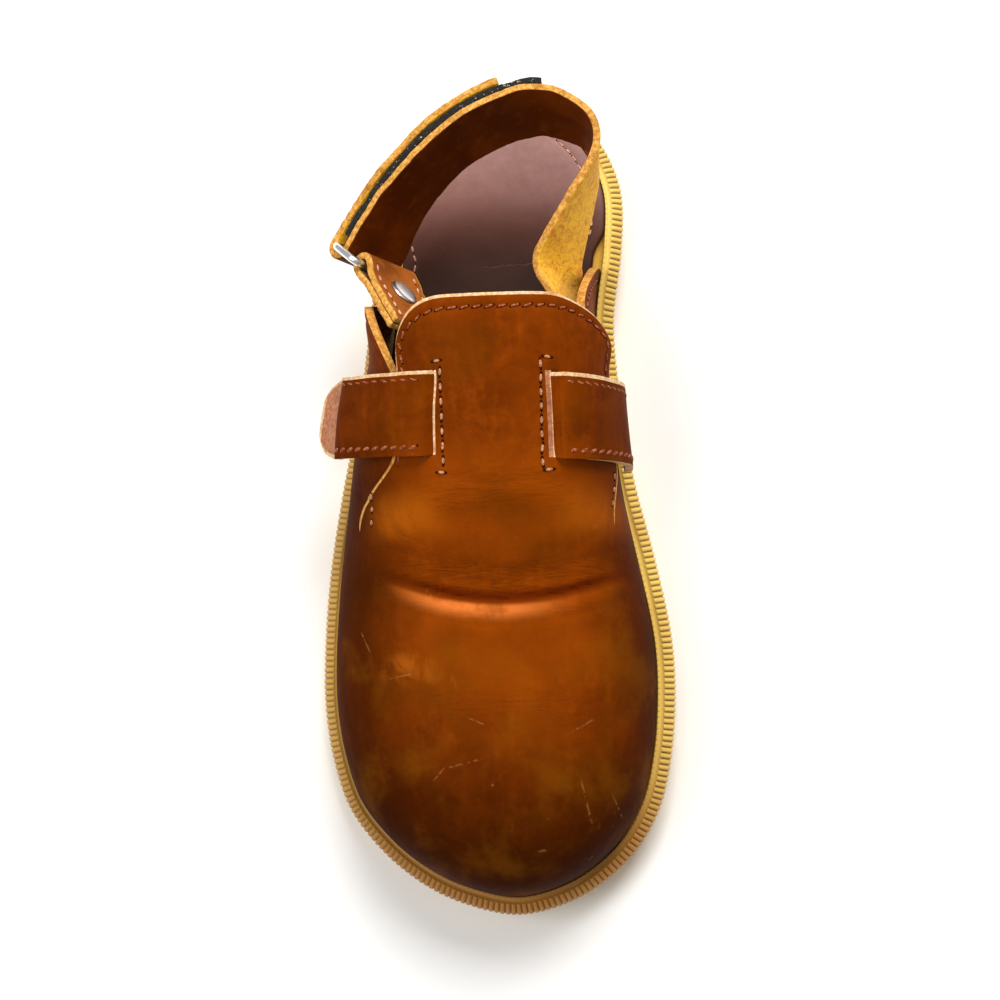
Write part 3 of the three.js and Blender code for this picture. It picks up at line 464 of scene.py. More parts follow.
def saddle_leather():
    p = Paint("saddle_leather")
    x, y = p.plan()
    z = p.z * 1000
    cloud = p.noise(0.034, detail=4, rough=0.55, twist=0.6)
    patch = p.noise(0.011, detail=5, rough=0.6, twist=0.8, shift=(0.03, 0.01, 0))
    fine = p.noise(0.0022, detail=4, rough=0.65)
    brushed = p.noise(0.004, detail=3, rough=0.6, stretch=(1, 0.16, 1))
    tone = (cloud * 0.55 + patch * 0.45).fade(0.34, 0.66)
    base = p.mix(tone, (0.095, 0.0150, 0.0006), (0.205, 0.0350, 0.0010))
    # Painted light: lighter, mottled leather over the top of the vamp, where it faces the light, most on the
    # swelling near y 109
    painted_light = y.fade(92, 104) * y.fade(176, 140) * abs(x + 5).fade(34, 12)
    base = p.mix(painted_light * (0.15 + cloud * 0.6 + abs(y - 109).fade(12, 2) * 0.3), base, (0.300, 0.0540, 0.0014))
    base = p.mix((brushed * 0.6 + fine * 0.4).fade(0.45, 0.75) * 0.5, base, (0.31, 0.0580, 0.0020))
    base = p.mix(p.noise(0.02, detail=2, shift=(0.1, 0, 0)).fade(0.5, 0.72) * 0.45, base, (0.130, 0.0310, 0.0006))
    # Painted shade: darker towards the toe, along the feather line, down the sides (more on the medial side) and
    # beside the instep strap
    off = abs(x - FOOT_X)
    side = off.fade(17, 36) * y.fade(70, 112)
    low = z.fade(36, 13)
    sash = (x.fade(13, 22) + x.fade(-20, -30)) * abs(y - 91).fade(14, 9)
    toe = (y + off * off * 0.014).fade(146, 200)
    painted_shade = (toe * 0.88).high(sash * 0.3).high(side * (0.70 + x.fade(0, -30) * 0.12)).high(low * 0.6)
    base = p.mix(painted_shade + (cloud - 0.5) * 0.3, base, (0.026, 0.0048, 0.0004))
    # Painted highlight: lighter and redder on the ridge just toe-ward of the toe-break crease, mostly on the
    # lateral half; painted shade darkens the crease's valley heel-ward of it
    bend = y - (CREASE_Y - off * off * CREASE_CURL)
    across = off.fade(31, 10)
    ridge = (bend.fade(0.2, 1.4) * bend.fade(5.6, 1.8) * x.fade(-26, 2) * across
             * (0.35 + p.noise(0.009, detail=4, rough=0.6).fade(0.35, 0.6) * 0.65))
    crease_shade = abs(bend + 1.0).fade(2.6, 0.2) * off.fade(34, 18)
    base = p.mix(ridge * 0.85, base, (0.76, 0.200, 0.036))
    base = p.mix(crease_shade * 0.8, base, (0.085, 0.0080, 0.0005))
    # Painted light: lighter pools near y 111 on both flanks, just toe-ward of the flap
    light_pool = abs(y - 111).fade(8.0, 0.0) * (abs(x - 17).fade(13, 2) + abs(x + 26).fade(11, 2) * 0.7)
    base = p.mix(light_pool * (0.35 + brushed * 0.5), base, (0.52, 0.1200, 0.0040))
    smear = ((x - 17) * (x - 17) / 90 + (y - 147) * (y - 147) / 30).fade(1.0, 0.0)
    base = p.mix(smear * brushed.fade(0.35, 0.6) * patch.fade(0.4, 0.6) * 0.4, base, (0.50, 0.1300, 0.0100))
    gold = p.noise(0.02, detail=5, rough=0.62, twist=0.3, shift=(0.3, 0.2, 0)).fade(0.46, 0.70) * y.fade(118, 142)
    base = p.mix(gold * 0.35, base, (0.210, 0.0640, 0.0020))
    scratches = 0.0
    for start, end, width in (
            ((24, 149), (16, 147.5), 0.35), ((-22, 172), (-24.5, 184), 0.4), ((-29, 176), (-31.5, 183), 0.35),
            ((10, 170), (0, 167.5), 0.4), ((12.5, 173), (9, 169), 0.35), ((-20, 162), (-27, 158), 0.35),
            ((4, 158), (-3, 161), 0.3), ((-14, 189), (-11.5, 189.6), 0.5), ((27, 143), (30, 137), 0.3),
            ((-9, 117), (-8.4, 117.4), 0.45), ((-2, 173.6), (-1.4, 174), 0.5), ((-14, 181.6), (-15, 182), 0.5)):
        scratches = along_line(p, start, end, width).high(scratches)
    scratches = scratches * p.noise(0.0012, detail=2).fade(0.38, 0.62)
    base = p.mix(scratches * 0.3, base, (0.50, 0.21, 0.06))
    rubbed = (p.noise(0.0035, detail=4, rough=0.7, stretch=(1, 0.5, 1)).fade(0.62, 0.74)
              * p.noise(0.018, detail=2, shift=(0, 0.2, 0)).fade(0.55, 0.68))
    base = p.mix(rubbed * 0.3, base, (0.46, 0.15, 0.025))
    pores = p.cells(0.0011)
    grain = pores * 0.6 + p.noise(0.0006, detail=3, rough=0.7) * 0.5
    streaks = p.noise(0.0021, detail=4, rough=0.62, twist=0.5, stretch=(0.24, 1, 0.5))
    folding = abs(bend + 3.6).fade(8.0, 1.0) * off.fade(34, 16)
    folding = folding.high(abs(y - 106).fade(7, 1) * off.fade(24, 12) * 0.7)
    folding = folding.high(abs(y - 155).fade(7, 1) * off.fade(30, 8) * 0.7)
    folding = folding.high(abs(bend - 2.2).fade(3.5, 0.5) * off.fade(34, 16) * 0.6)
    fan = p.noise(0.0024, detail=4, rough=0.62, twist=0.6, stretch=(0.8, 0.5, 0.6), shift=(0.2, 0.1, 0))
    fan_here = abs(y - 116).fade(13, 3) * abs(x - 22).fade(13, 3)
    wrinkles = streaks * folding + fan * fan_here * 0.8
    normal = p.bump(grain, 0.00008, 0.5)
    normal = p.bump(patch, 0.0007, 0.35, below=normal)
    normal = p.bump(wrinkles, 0.0009, 0.7, below=normal)
    normal = p.bump(1 - scratches, 0.0002, 0.4, below=normal)
    rough = 0.38 + cloud * 0.14 + fine * 0.10 + scratches * 0.2 + side * 0.15
    return p.finish(Base_Color=base, Roughness=rough, Normal=normal,
                    Specular_IOR_Level=0.012, Specular_Tint=WARM)


def cut_edge(name, bright, deep, stain):
    p = Paint(name)
    fibre = p.noise(0.0009, detail=4, rough=0.7)
    patch = p.noise(0.005, detail=3)
    base = p.mix(fibre.fade(0.35, 0.7), deep, bright)
    base = p.mix(patch.fade(0.5, 0.75) * 0.6, base, stain)
    normal = p.bump(fibre, 0.0003, 0.7)
    return p.finish(Base_Color=base, Roughness=0.8, Normal=normal, Specular_IOR_Level=0.2)


def flesh_side(name, deep, bright):
    p = Paint(name)
    nap = p.noise(0.0009, detail=5, rough=0.75)
    tuft = p.noise(0.0028, detail=4, rough=0.65, twist=1.2)
    cloud = p.noise(0.014, detail=3)
    tone = (nap * 0.4 + tuft * 0.4 + cloud * 0.2).fade(0.42, 0.58)
    base = p.mix(tone, deep, bright)
    base = p.mix(tuft.fade(0.58, 0.72) * 0.5, base, tuple(c * 0.45 for c in deep))
    normal = p.bump(nap, 0.00035, 0.8)
    normal = p.bump(tuft, 0.0006, 0.7, below=normal)
    return p.finish(Base_Color=base, Roughness=0.92, Normal=normal, Specular_IOR_Level=0.15,
                    Sheen_Weight=0.35, Sheen_Roughness=0.5, Sheen_Tint=GOLDEN)


def strap_grain(name, deep, bright, rubbed):
    p = Paint(name)
    cloud = p.noise(0.02, detail=4, twist=0.5)
    fine = p.noise(0.0025, detail=4, rough=0.65)
    base = p.mix(cloud.fade(0.35, 0.68), deep, bright)
    base = p.mix(fine.fade(0.5, 0.75) * 0.4, base, rubbed)
    pores = p.cells(0.0010) * 0.6 + p.noise(0.0006, detail=3) * 0.5
    normal = p.bump(pores, 0.00009, 0.6)
    return p.finish(Base_Color=base, Roughness=0.42 + fine * 0.15, Normal=normal,
                    Specular_IOR_Level=0.08, Specular_Tint=WARM)


def insole_leather():
    p = Paint("insole_leather")
    x, y = p.plan()
    cloud = p.noise(0.022, detail=4, rough=0.55, twist=0.4)
    fine = p.noise(0.003, detail=4, rough=0.6)
    # Painted highlight: pale glare towards the heel
    painted_light = y.fade(40, 10)
    base = p.mix(cloud.fade(0.35, 0.7), (0.085, 0.026, 0.017), (0.150, 0.052, 0.036))
    base = p.mix(painted_light * (0.40 + fine * 0.55), base, (0.40, 0.225, 0.205))
    crease = abs(y - 44.5 - (x + 8) * 0.05 - (fine - 0.5) * 3).fade(0.5, 0.0) * abs(x + 8).fade(12, 8)
    base = p.mix(crease * 0.45, base, (0.40, 0.27, 0.22))
    # Painted shade: much darker from the heel strap forwards, inside the shoe under the straps and flap
    base = p.mix(y.fade(26, 50) * 0.85, base, (0.022, 0.0065, 0.0025))
    pores = p.cells(0.0013) * 0.5 + p.noise(0.0006, detail=3) * 0.5
    normal = p.bump(pores, 0.00008, 0.6)
    normal = p.bump(cloud, 0.0010, 0.25, below=normal)
    normal = p.bump(1 - crease, 0.0003, 0.5, below=normal)
    return p.finish(Base_Color=base, Roughness=0.38 + fine * 0.16, Normal=normal, Specular_IOR_Level=0.16,
                    Specular_Tint=PINKISH)


def honey_rubber(name, ribbed):
    p = Paint(name)
    y = p.plan()[1]
    cloud = p.noise(0.012, detail=3)
    speck = p.noise(0.0007, detail=3, rough=0.7)
    base = p.mix(cloud.fade(0.35, 0.7), (0.66, 0.36, 0.040), (0.86, 0.55, 0.085))
    if ribbed:
        # Painted light and shade: lighter on the rib tops, dark down in the gaps between ribs and half dark on the
        # flat inner floor, read from the rib layer
        rib = p.attribute("rib")
        base = p.mix(rib, (0.10, 0.040, 0.002), p.mix(0.5, base, (1.0, 0.70, 0.17)))
        # Painted shade: darker towards the toe, where the rim turns away from the light
        base = p.mix(y.fade(160, 194) * 0.8, base, (0.36, 0.110, 0.006))
        # Painted shade: browner on the lateral side, which is turned from the light
        base = p.mix(p.x.fade(-0.012, 0.040) * 0.6, base, (0.42, 0.190, 0.022))
    normal = p.bump(speck, 0.00006, 0.5)
    return p.finish(Base_Color=base, Roughness=0.40 + speck * 0.15, Normal=normal, Coat_Weight=0.1,
                    Coat_Roughness=0.3, Subsurface_Weight=0.08, Subsurface_Radius=(0.004, 0.002, 0.0008),
                    Specular_IOR_Level=0.45)


def thread(name, dark, light):
    p = Paint(name)
    twist = p.noise(0.0005, detail=2)
    base = p.mix(twist.fade(0.4, 0.65), dark, light)
    return p.finish(Base_Color=base, Roughness=0.7, Normal=p.bump(twist, 0.00015, 0.7), Specular_IOR_Level=0.12)


# Painted shade: near-black for the flat discs that stand in for the shade inside needle holes
def needle_hole_shade():
    p = Paint("needle_hole_shade")
    return p.finish(Base_Color=p.mix(p.noise(0.001), (0.022, 0.004, 0.001), (0.05, 0.010, 0.002)), Roughness=0.95,
                    Specular_IOR_Level=0.0)


def bright_nickel():
    p = Paint("bright_nickel")
    scuff = p.noise(0.0012, detail=4, rough=0.7)
    cloud = p.noise(0.004, detail=2)
    base = p.mix(cloud.fade(0.4, 0.7), (0.86, 0.88, 0.89), (0.95, 0.96, 0.96))
    return p.finish(Base_Color=base, Metallic=1.0, Roughness=0.24 + scuff * 0.12,
                    Normal=p.bump(scuff, 0.00004, 0.5))


def hook_tape():
    p = Paint("hook_tape")
    loops = p.noise(0.0006, detail=4, rough=0.8)
    fluff = p.noise(0.0009, detail=3, rough=0.8, shift=(0.1, 0, 0))
    base = p.mix(loops.fade(0.55, 0.75), (0.006, 0.006, 0.006), (0.07, 0.065, 0.055))
    base = p.mix(fluff.fade(0.62, 0.68), base, (0.62, 0.55, 0.42))
    return p.finish(Base_Color=base, Roughness=0.9, Normal=p.bump(loops, 0.0005, 0.9))


SADDLE = saddle_leather()
EDGE_RAW = cut_edge("cut_edge", (0.90, 0.66, 0.40), (0.62, 0.33, 0.13), (0.45, 0.17, 0.05))
EDGE_GOLD = cut_edge("cut_edge_golden", (0.84, 0.46, 0.11), (0.46, 0.18, 0.022), (0.26, 0.085, 0.007))
STRAP_TIP = cut_edge("strap_tip", (0.56, 0.250, 0.130), (0.34, 0.115, 0.050), (0.26, 0.080, 0.030))
FLESH = flesh_side("flesh_side", (0.66, 0.210, 0.004), (1.0, 0.54, 0.015))
LINING = flesh_side("lining_side", (0.085, 0.022, 0.002), (0.20, 0.062, 0.007))
STRAP = strap_grain("strap_grain", (0.095, 0.0160, 0.0010), (0.175, 0.0330, 0.0014), (0.25, 0.055, 0.003))
TAB_SKIN = strap_grain("tab_grain", (0.20, 0.0480, 0.0040), (0.42, 0.1150, 0.0130), (0.60, 0.200, 0.030))
INSOLE = insole_leather()
RIBBED = honey_rubber("ribbed_rubber", True)
RUBBER = honey_rubber("sole_rubber", False)
THREAD_RED = thread("thread_red_brown", (0.19, 0.040, 0.014), (0.42, 0.140, 0.065))
THREAD_TAN = thread("thread_tan", (0.34, 0.130, 0.060), (0.62, 0.32, 0.19))
THREAD_PINK = thread("thread_pale", (0.48, 0.20, 0.12), (0.78, 0.52, 0.40))
HOLE_SHADE = needle_hole_shade()
NICKEL = bright_nickel()
TAPE = hook_tape()


# Making pieces

def grid(bm, columns, rows, place, skin=None):
    """A sheet of points; place takes the two parameters and gives points in millimetres.
    skin gives each face's material from its middle's parameters, or -1 for a face that is cut out."""
    columns = np.asarray(columns, float)
    rows = np.asarray(rows, float)
    made = bmesh.ops.create_grid(bm, x_segments=len(columns) - 1, y_segments=len(rows) - 1, size=1)["verts"]
    x = np.array([v.co.x for v in made])
    y = np.array([v.co.y for v in made])
    i = np.rint((x + 1) / 2 * (len(columns) - 1)).astype(int)
    j = np.rint((y + 1) / 2 * (len(rows) - 1)).astype(int)
    cut = []
    if skin:
        faces = list({face for vert in made for face in vert.link_faces})
        middles = np.array([face.calc_center_median()[:2] for face in faces])
        u = np.interp((middles[:, 0] + 1) / 2 * (len(columns) - 1), np.arange(len(columns)), columns)
        w = np.interp((middles[:, 1] + 1) / 2 * (len(rows) - 1), np.arange(len(rows)), rows)
        for face, index in zip(faces, skin(u, w)):
            if index < 0:
                cut.append(face)
            else:
                face.material_index = int(index)
    for vert, point in zip(made, place(columns[i], rows[j])):
        vert.co = point
    if cut:
        bmesh.ops.delete(bm, geom=cut, context="FACES")


def link_new(name, data):
    made = bpy.data.objects.new(name, data)
    bpy.context.scene.collection.objects.link(made)
    return made


WELD = 1e-3
STRAP_RIM = 0.9


def finish_piece(bm, name, materials, node, modifiers=(), weld=0.0):
    """Makes the object and says what it rides on, replaces and is made of; weld merges points that close."""
    if weld:
        bmesh.ops.remove_doubles(bm, verts=bm.verts, dist=weld)
    bmesh.ops.transform(bm, matrix=TO_FRAME, verts=bm.verts)
    mesh = bpy.data.meshes.new(name)
    for face in bm.faces:
        face.smooth = True
    bm.to_mesh(mesh)
    bm.free()
    for material in materials:
        mesh.materials.append(material)
    piece = link_new(name, mesh)
    for kind, settings in modifiers:
        made = piece.modifiers.new(kind.title(), kind)
        for key, value in settings.items():
            setattr(made, key, value)
    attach(piece, "root")
    if node:
        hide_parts(node)


def turn_out(bm, outward, ask=lambda centre: True):
    """Turns an open sheet so that its faces look outward; ask picks the faces that count by their middles."""
    bm.normal_update()
    middles = [(face, face.calc_center_median()) for face in bm.faces]
    if sum(face.normal.dot(outward(at)) * face.calc_area() for face, at in middles if ask(at)) < 0:
        bmesh.ops.reverse_faces(bm, faces=bm.faces)


def leather_wall(thickness, offset, rim=0.35, back=1, edge=2):
    """Solidify and rounded cut edges, in the order they are applied."""
    return [
        ("SOLIDIFY", {"thickness": thickness / 1000, "offset": offset, "use_even_offset": False,
                      "material_offset": back, "material_offset_rim": edge, "use_rim": True}),
        ("BEVEL", {"width": rim / 1000, "segments": 2, "limit_method": "ANGLE", "angle_limit": math.radians(55),
                   "profile": 0.5, "harden_normals": False}),
    ]


# Upper

FLAP_STEPS = 44
SIDE_STEPS = 26
SKIRT_STEPS = 3
UNDERLAP_STEPS = 12


def flap_turn(side, y):
    opening = smooth((y / SHOE_LENGTH - SLIT_OPEN) / (SLIT_END - SLIT_OPEN))
    return np.where(side < 0, FLAP_TURN_MEDIAL, lerp(FLAP_TURN_LATERAL, SLIT_TURN_LATERAL, opening))


def crease_push(x, y):
    """Creases: how far the leather moves out, in millimetres."""
    off = np.abs(x - FOOT_X)
    bend = y - (CREASE_Y - CREASE_CURL * off**2)
    width = smooth((33 - off) / 15)
    wander = 0.35 * np.sin(x * 0.31 + 0.6) + 0.2 * np.sin(x * 0.83)
    push = -0.95 * np.exp(-((bend + 0.3 - wander * 0.4) / 1.0)**2) * width
    push -= 0.75 * np.exp(-((bend + 4.5) / 4.5)**2) * width
    push += (0.75 * np.exp(-((bend - 2.5) / 1.9)**2) + 0.75 * np.exp(-((bend - 5.6) / 4.0)**2)) * width
    for shift, depth, thick, middle in ((-2.4, 0.17, 0.55, 6), (-4.1, 0.15, 0.6, 12), (-6.3, 0.12, 0.7, -12),
                                        (1.6, 0.10, 0.5, -2)):
        line = bend - shift - wander * (0.6 + abs(shift) * 0.2) - (x - middle) * 0.03
        push -= depth * np.exp(-(line / thick)**2) * width * smooth((15 - np.abs(x - middle)) / 9)
    # Creases that fan out at both sides, heelwards of the toe break
    for x0, y0, slope, depth in (
            (13, 121.5, -0.42, 0.26), (15, 118.0, -0.62, 0.24), (18, 115.0, -0.85, 0.22), (22, 112.5, -1.1, 0.2),
            (-20, 123.5, 0.30, 0.22), (-22, 119.5, 0.55, 0.18)):
        line = y - (y0 + slope * (x - x0))
        push -= depth * np.exp(-(line / 0.85)**2) * np.exp(-((x - x0 - np.sign(x0) * 4) / 6.5)**2)
    # Soft hollows and swellings of a worn vamp
    for rise, x0, wide, y0, long in ((0.55, 18, 13, 141, 6), (-0.50, 24, 9, 134.5, 4), (-0.35, -26, 8, 137, 6),
                                     (0.30, -22, 9, 150, 7)):
        push += rise * np.exp(-(((x - x0) / wide)**2 + ((y - y0) / long)**2))
    push -= 0.28 * np.exp(-(((y - 154 - 0.05 * (x + 20)**2 * 0.1) / 2.2)**2)) * smooth((12 - np.abs(x + 24)) / 8)
    push -= 0.22 * np.exp(-((y - 104.5 + 0.004 * (x + 7)**2) / 1.3)**2) * smooth((22 - off) / 10)
    push += 0.45 * np.exp(-((y - 109.5) / 4.0)**2) * smooth((26 - np.abs(x + 4)) / 12)
    return push


def edge_groove(distance, at, depth=0.28):
    """The line that a row of stitches pulls into the leather."""
    return -depth * np.exp(-((distance - at) / 0.7)**2)


def flap_flare(turn, y):
    """Lift of the flap's inner flank behind the instep strap, where it stands out over the quarter."""
    return FLAP_FLARE * smooth((-turn / FLAP_TURN_MEDIAL - 0.55) / 0.45) * smooth((STRAP_REAR_Y - y) / 8)


def side_turn(n, edge):
    """Turn at share n of a side: up to edge at 0.5, then on to 90 degrees where the skirt begins."""
    return np.where(n <= 0.5, edge * n / 0.5, lerp(edge, 90, np.clip((n - 0.5) / (SIDE_END - 0.5), 0, 1)))


def upper_surface(y, s, offset, flap=False):
    """Point of the upper; s runs over -1..1: flap to 0.5, side to 0.94, then the skirt inside the welt."""
    side = np.sign(s)
    n = np.abs(s)
    edge = flap_turn(side, y)
    turn = side * side_turn(n, edge)
    point = on_last(y, turn, offset)
    skirt = np.clip((n - SIDE_END) / (1 - SIDE_END), 0, 1)
    point[..., 2] = lerp(point[..., 2], seat(y) + CLEARANCE, skirt)
    push = crease_push(point[..., 0], point[..., 1]) * np.cos(np.radians(turn))**0.5 * (1 - smooth(skirt))
    push = np.where(y > TOE_Y - 8, push * (TOE_Y - y) / 8, push)
    if flap:
        push = push + flap_flare(turn, y)
    return point + last_normal(y, turn) * push[..., None]


def flap_rear(s):
    n = np.abs(s) / 0.5
    corner = 1 - np.sqrt(np.maximum(0, 1 - np.clip((n - FLAP_CORNER_START) / (1 - FLAP_CORNER_START), 0, 1)**2))
    return SHOE_LENGTH * (FLAP_REAR + FLAP_CORNER * corner)


def flap_lift(y):
    return (LEATHER + FLAP_GAP) * smooth((SLIT_END - y / SHOE_LENGTH) / FLAP_RISE)


SLOT_EDGES = [0.5 * turn / (FLAP_TURN_LATERAL if turn > 0 else FLAP_TURN_MEDIAL)
              for slot in SLOT_TURNS for turn in slot]
SLOT_RIM = (SLOT_EDGES[0] - 0.012, SLOT_EDGES[3] + 0.026)
FLAP_S = np.unique(np.concatenate([np.linspace(-0.5, 0.5, 2 * FLAP_STEPS + 1), SLOT_EDGES, SLOT_RIM,
                                   [SLOT_EDGES[3] + 0.007, -0.491, -0.482, 0.487, 0.477]]))
SIDE_S = np.concatenate([np.linspace(0.5, SIDE_END, SIDE_STEPS + 1), np.linspace(SIDE_END, 1, SKIRT_STEPS + 1)[1:]])
UNDER_S = np.linspace(0.36, 0.5, UNDERLAP_STEPS + 1)[:-1]
ALL_S = np.concatenate([-SIDE_S[::-1][:-1], FLAP_S, SIDE_S[1:]])


def make_upper():
    bm = bmesh.new()
    steps = 120
    vamp_rows = lerp(SLIT_Y, TOE_Y, np.sin(np.pi / 2 * np.arange(steps + 1) / steps)**1.15)
    grid(bm, ALL_S, vamp_rows, lambda s, y: upper_surface(y, s, np.zeros_like(y)))

    # The flap: finer rows near its cut rear edge, where the stitch row pulls the leather in
    flap_rows = np.concatenate([np.linspace(0, 0.12, 19)[:-1], np.linspace(0.12, 1, 60)])

    def flap_gaps(s, t):
        y = lerp(flap_rear(s), SLIT_Y, t)
        n = np.abs(s) / 0.5
        rear = (y - flap_rear(s)) * REAR_SLOPE
        flank = (1 - n) * np.where(s > 0, FLANK_LATERAL, FLANK_MEDIAL)
        return y, rear, flank

    def flap_place(s, t):
        y, rear, flank = flap_gaps(s, t)
        edge_gap = np.minimum(rear, flank)
        groove = edge_groove(edge_gap, STITCH_INSET) * smooth((0.52 - t) / 0.1)
        roll = -0.3 * np.exp(-edge_gap / 0.6)
        # The strap presses the leather down beside its slots
        press = -0.35 * smooth((11 - np.abs(y - SLOT_MIDDLE_Y)) / 3) * sum(
            np.exp(-((s - at) / 0.02)**2) for at in (SLOT_EDGES[0], SLOT_EDGES[3]))
        return upper_surface(y, s, flap_lift(y) + groove + roll + press, flap=True)

    def flap_skin(s, t):
        y, rear, flank = flap_gaps(s, t)
        middle = INSTEP_ALONG * SHOE_LENGTH + INSTEP_SKEW * last_point(y, s / 0.5 * flap_turn(s, y))[..., 0]
        in_slot = np.abs(y - middle) < INSTEP_STRAP_WIDTH / 2 + 0.1
        slots = ((s > SLOT_EDGES[0]) & (s < SLOT_EDGES[1])) | ((s > SLOT_EDGES[2]) & (s < SLOT_EDGES[3]))
        slot_rim = in_slot & (((s > SLOT_RIM[0]) & (s < SLOT_EDGES[0])) | ((s > SLOT_EDGES[3]) & (s < SLOT_RIM[1])))
        slit_rim = flank < np.where(t > 0.6, 1.1, 0.55)
        lip = slot_rim & (s > SLOT_EDGES[3] + 0.007) & (s < 0)
        pale = np.where(slit_rim & (t > 0.6), 4, np.where(lip, 6, 5))
        return np.where(in_slot & slots, -1, np.where((rear < 0.62) | slit_rim | slot_rim, pale, 1))

    grid(bm, FLAP_S, flap_rows, flap_place, flap_skin)
    for side, rows in ((-1, QUARTER_MEDIAL), (1, QUARTER_LATERAL)):
        cols = np.concatenate([UNDER_S, SIDE_S]) * side

        def quarter_place(s, t, rows=rows, side=side):
            n = np.abs(s)
            at = flap_turn(side, np.full_like(s, 0.4 * SHOE_LENGTH))
            turn = side_turn(n, at)
            rear = SHOE_LENGTH * read_rows(rows, 1, np.clip(turn, rows[0, 0], 90))
            y = lerp(rear, SLIT_Y, t)
            groove = edge_groove(y - rear, 3.0, 0.22) * smooth((SLIT_Y - 14 - y) / 6)
            under = np.where(n < 0.4999, -0.06, 0.0)
            point = upper_surface(y, s, groove + under)
            # The outer quarter twists outwards at its top, where the ring pulls at it
            pull = smooth((77 - y) / 15) * (side > 0)
            tall = point[..., 2]
            point[..., 0] += pull * (1.2 * smooth((tall - 36.5) / 7) - 4.4 * np.exp(-((tall - 34.5) / 6)**2))
            return point

        grid(bm, cols, np.concatenate([np.linspace(0, 0.12, 15)[:-1], np.linspace(0.12, 1, 48)]), quarter_place)
    bmesh.ops.remove_doubles(bm, verts=bm.verts, dist=0.004)
    bmesh.ops.dissolve_degenerate(bm, dist=0.002, edges=bm.edges)
    bm.normal_update()
    # Each sheet is turned so that it faces away from the foot
    middles = [(face, face.calc_center_median()) for face in bm.faces]
    flipped = [face for face, at in middles if face.normal.dot(at - Vector((FOOT_X, min(at.y, 185), 20))) < 0]
    bmesh.ops.reverse_faces(bm, faces=flipped)
    # Skins by face: 0 quarter, 1 flap, 4 and 5 cut edges, 6 slot lip; each one's back is 2 on and its rim 4 on
    skins = [SADDLE, SADDLE, LINING, LINING, EDGE_GOLD, EDGE_RAW, STRAP_TIP,
             EDGE_RAW, EDGE_GOLD, EDGE_RAW, STRAP_TIP]
    finish_piece(bm, "upper_leather", skins, "upper",
                 leather_wall(LEATHER, -1, 0.4, back=2, edge=4))


make_upper()


# Sole

def closed_ring(bm, points):
    """Points as vertices, and the edges that join them in a loop."""
    verts = [bm.verts.new(point) for point in points]
    return verts, [bm.edges.new(pair) for pair in zip(verts, verts[1:] + verts[:1])]


def bridge(bm, rings):
    for low, high in zip(rings, rings[1:]):
        bmesh.ops.bridge_loops(bm, edges=low + high)


def lofted(loops):
    """A solid through closed loops of one count, capped at both ends."""
    bm = bmesh.new()
    rings = [closed_ring(bm, loop)[1] for loop in loops]
    bridge(bm, rings)
    for ring in (rings[0], rings[-1]):
        bmesh.ops.triangle_fill(bm, edges=ring, use_beauty=True)
    bmesh.ops.recalc_face_normals(bm, faces=bm.faces)
    return bm


def make_outsole():
    """Profile: inset, then share of the way up from the ground."""
    profile = [(3.2, 0.0), (2.2, 0.02), (1.75, 0.08), (1.45, 0.2), (1.1, 0.34), (0.75, 0.5), (0.5, 0.66),
               (0.42, 0.8), (0.42, 0.95), (0.62, 1.0)]
    share = np.arange(360) / 360
    loops = []
    for inset, t in profile:
        ring = outline_at(share, inset)
        loops.append(np.column_stack([ring, lerp(ground(ring[:, 1]), platform(ring[:, 1]), t)]))
    finish_piece(lofted(loops), "outsole_rubber", [RUBBER], "outsole")


def make_welt():
    """Ribbed rim: every rib is a rounded ridge that runs up the slope and over the edge."""
    ribs = round(EDGE_LENGTH / RIB_PITCH)
    fine = 8
    count = ribs * fine
    share = np.arange(count) / count
    phase = np.arange(count) % fine / fine
    rib = np.clip(np.sin(np.pi * phase), 0, 1)**0.55
    tooth = np.where(rib > 0.75, 1.0, rib / 0.75)
    profile = [
        # inset, height over the seat, depth of the gaps between ribs
        (WELT_DEPTH, 0.0, 0.0), (1.1, 0.0, 0.0), (0.55, 0.25, 0.1), (0.1, 0.75, 0.5), (0.0, 1.1, 0.6),
        (0.35, 1.65, 0.6), (1.0, 2.35, 0.6), (1.7, 2.95, 0.6), (2.3, 3.35, 0.55), (2.65, 3.4, 0.4),
        (2.8, 3.2, 0.1), (2.95, 2.95, 0.0), (3.5, 2.88, 0.0), (3.85, 2.9, 0.0), (4.0, 3.15, 0.22),
        (4.3, 3.2, 0.25), (4.4, 2.9, 0.1),
    ]
    bm = bmesh.new()
    layer = bm.verts.layers.float.new("rib")
    rings = []
    for inset, height, gap in profile:
        shape = tooth if inset > 3 else rib
        cut = gap * (1 - shape)
        ring = outline_at(share, inset + cut * (0.75 if inset < 2.5 else 0.2))
        z = seat(ring[:, 1]) + height - cut * (0.75 if height > 1.2 else 0.0)
        verts, edges = closed_ring(bm, np.column_stack([ring, z]))
        # The rib layer holds painted light and shade: 1 on rib tops, falling to 0 down in the gaps, 0.9 on rings
        # without gaps and 0.5 on the flat inner floor
        bright = 1 - np.clip(gap / 0.55, 0, 1) * (1 - rib) if gap > 0.05 else np.ones(count) * 0.9
        if inset > 1.0 and height < 0.1:
            bright = np.ones(count) * 0.5
        for vert, value in zip(verts, bright):
            vert[layer] = float(value)
        rings.append(edges)
    bridge(bm, rings + rings[:1])
    bmesh.ops.recalc_face_normals(bm, faces=bm.faces)
    finish_piece(bm, "ribbed_welt", [RIBBED], "welt")


def insole_inset(y):
    front = WELT_DEPTH + CLEARANCE + LEATHER + CLEARANCE
    return lerp(WELT_DEPTH + CLEARANCE, front, smooth((y / SHOE_LENGTH - 0.175) / 0.035))


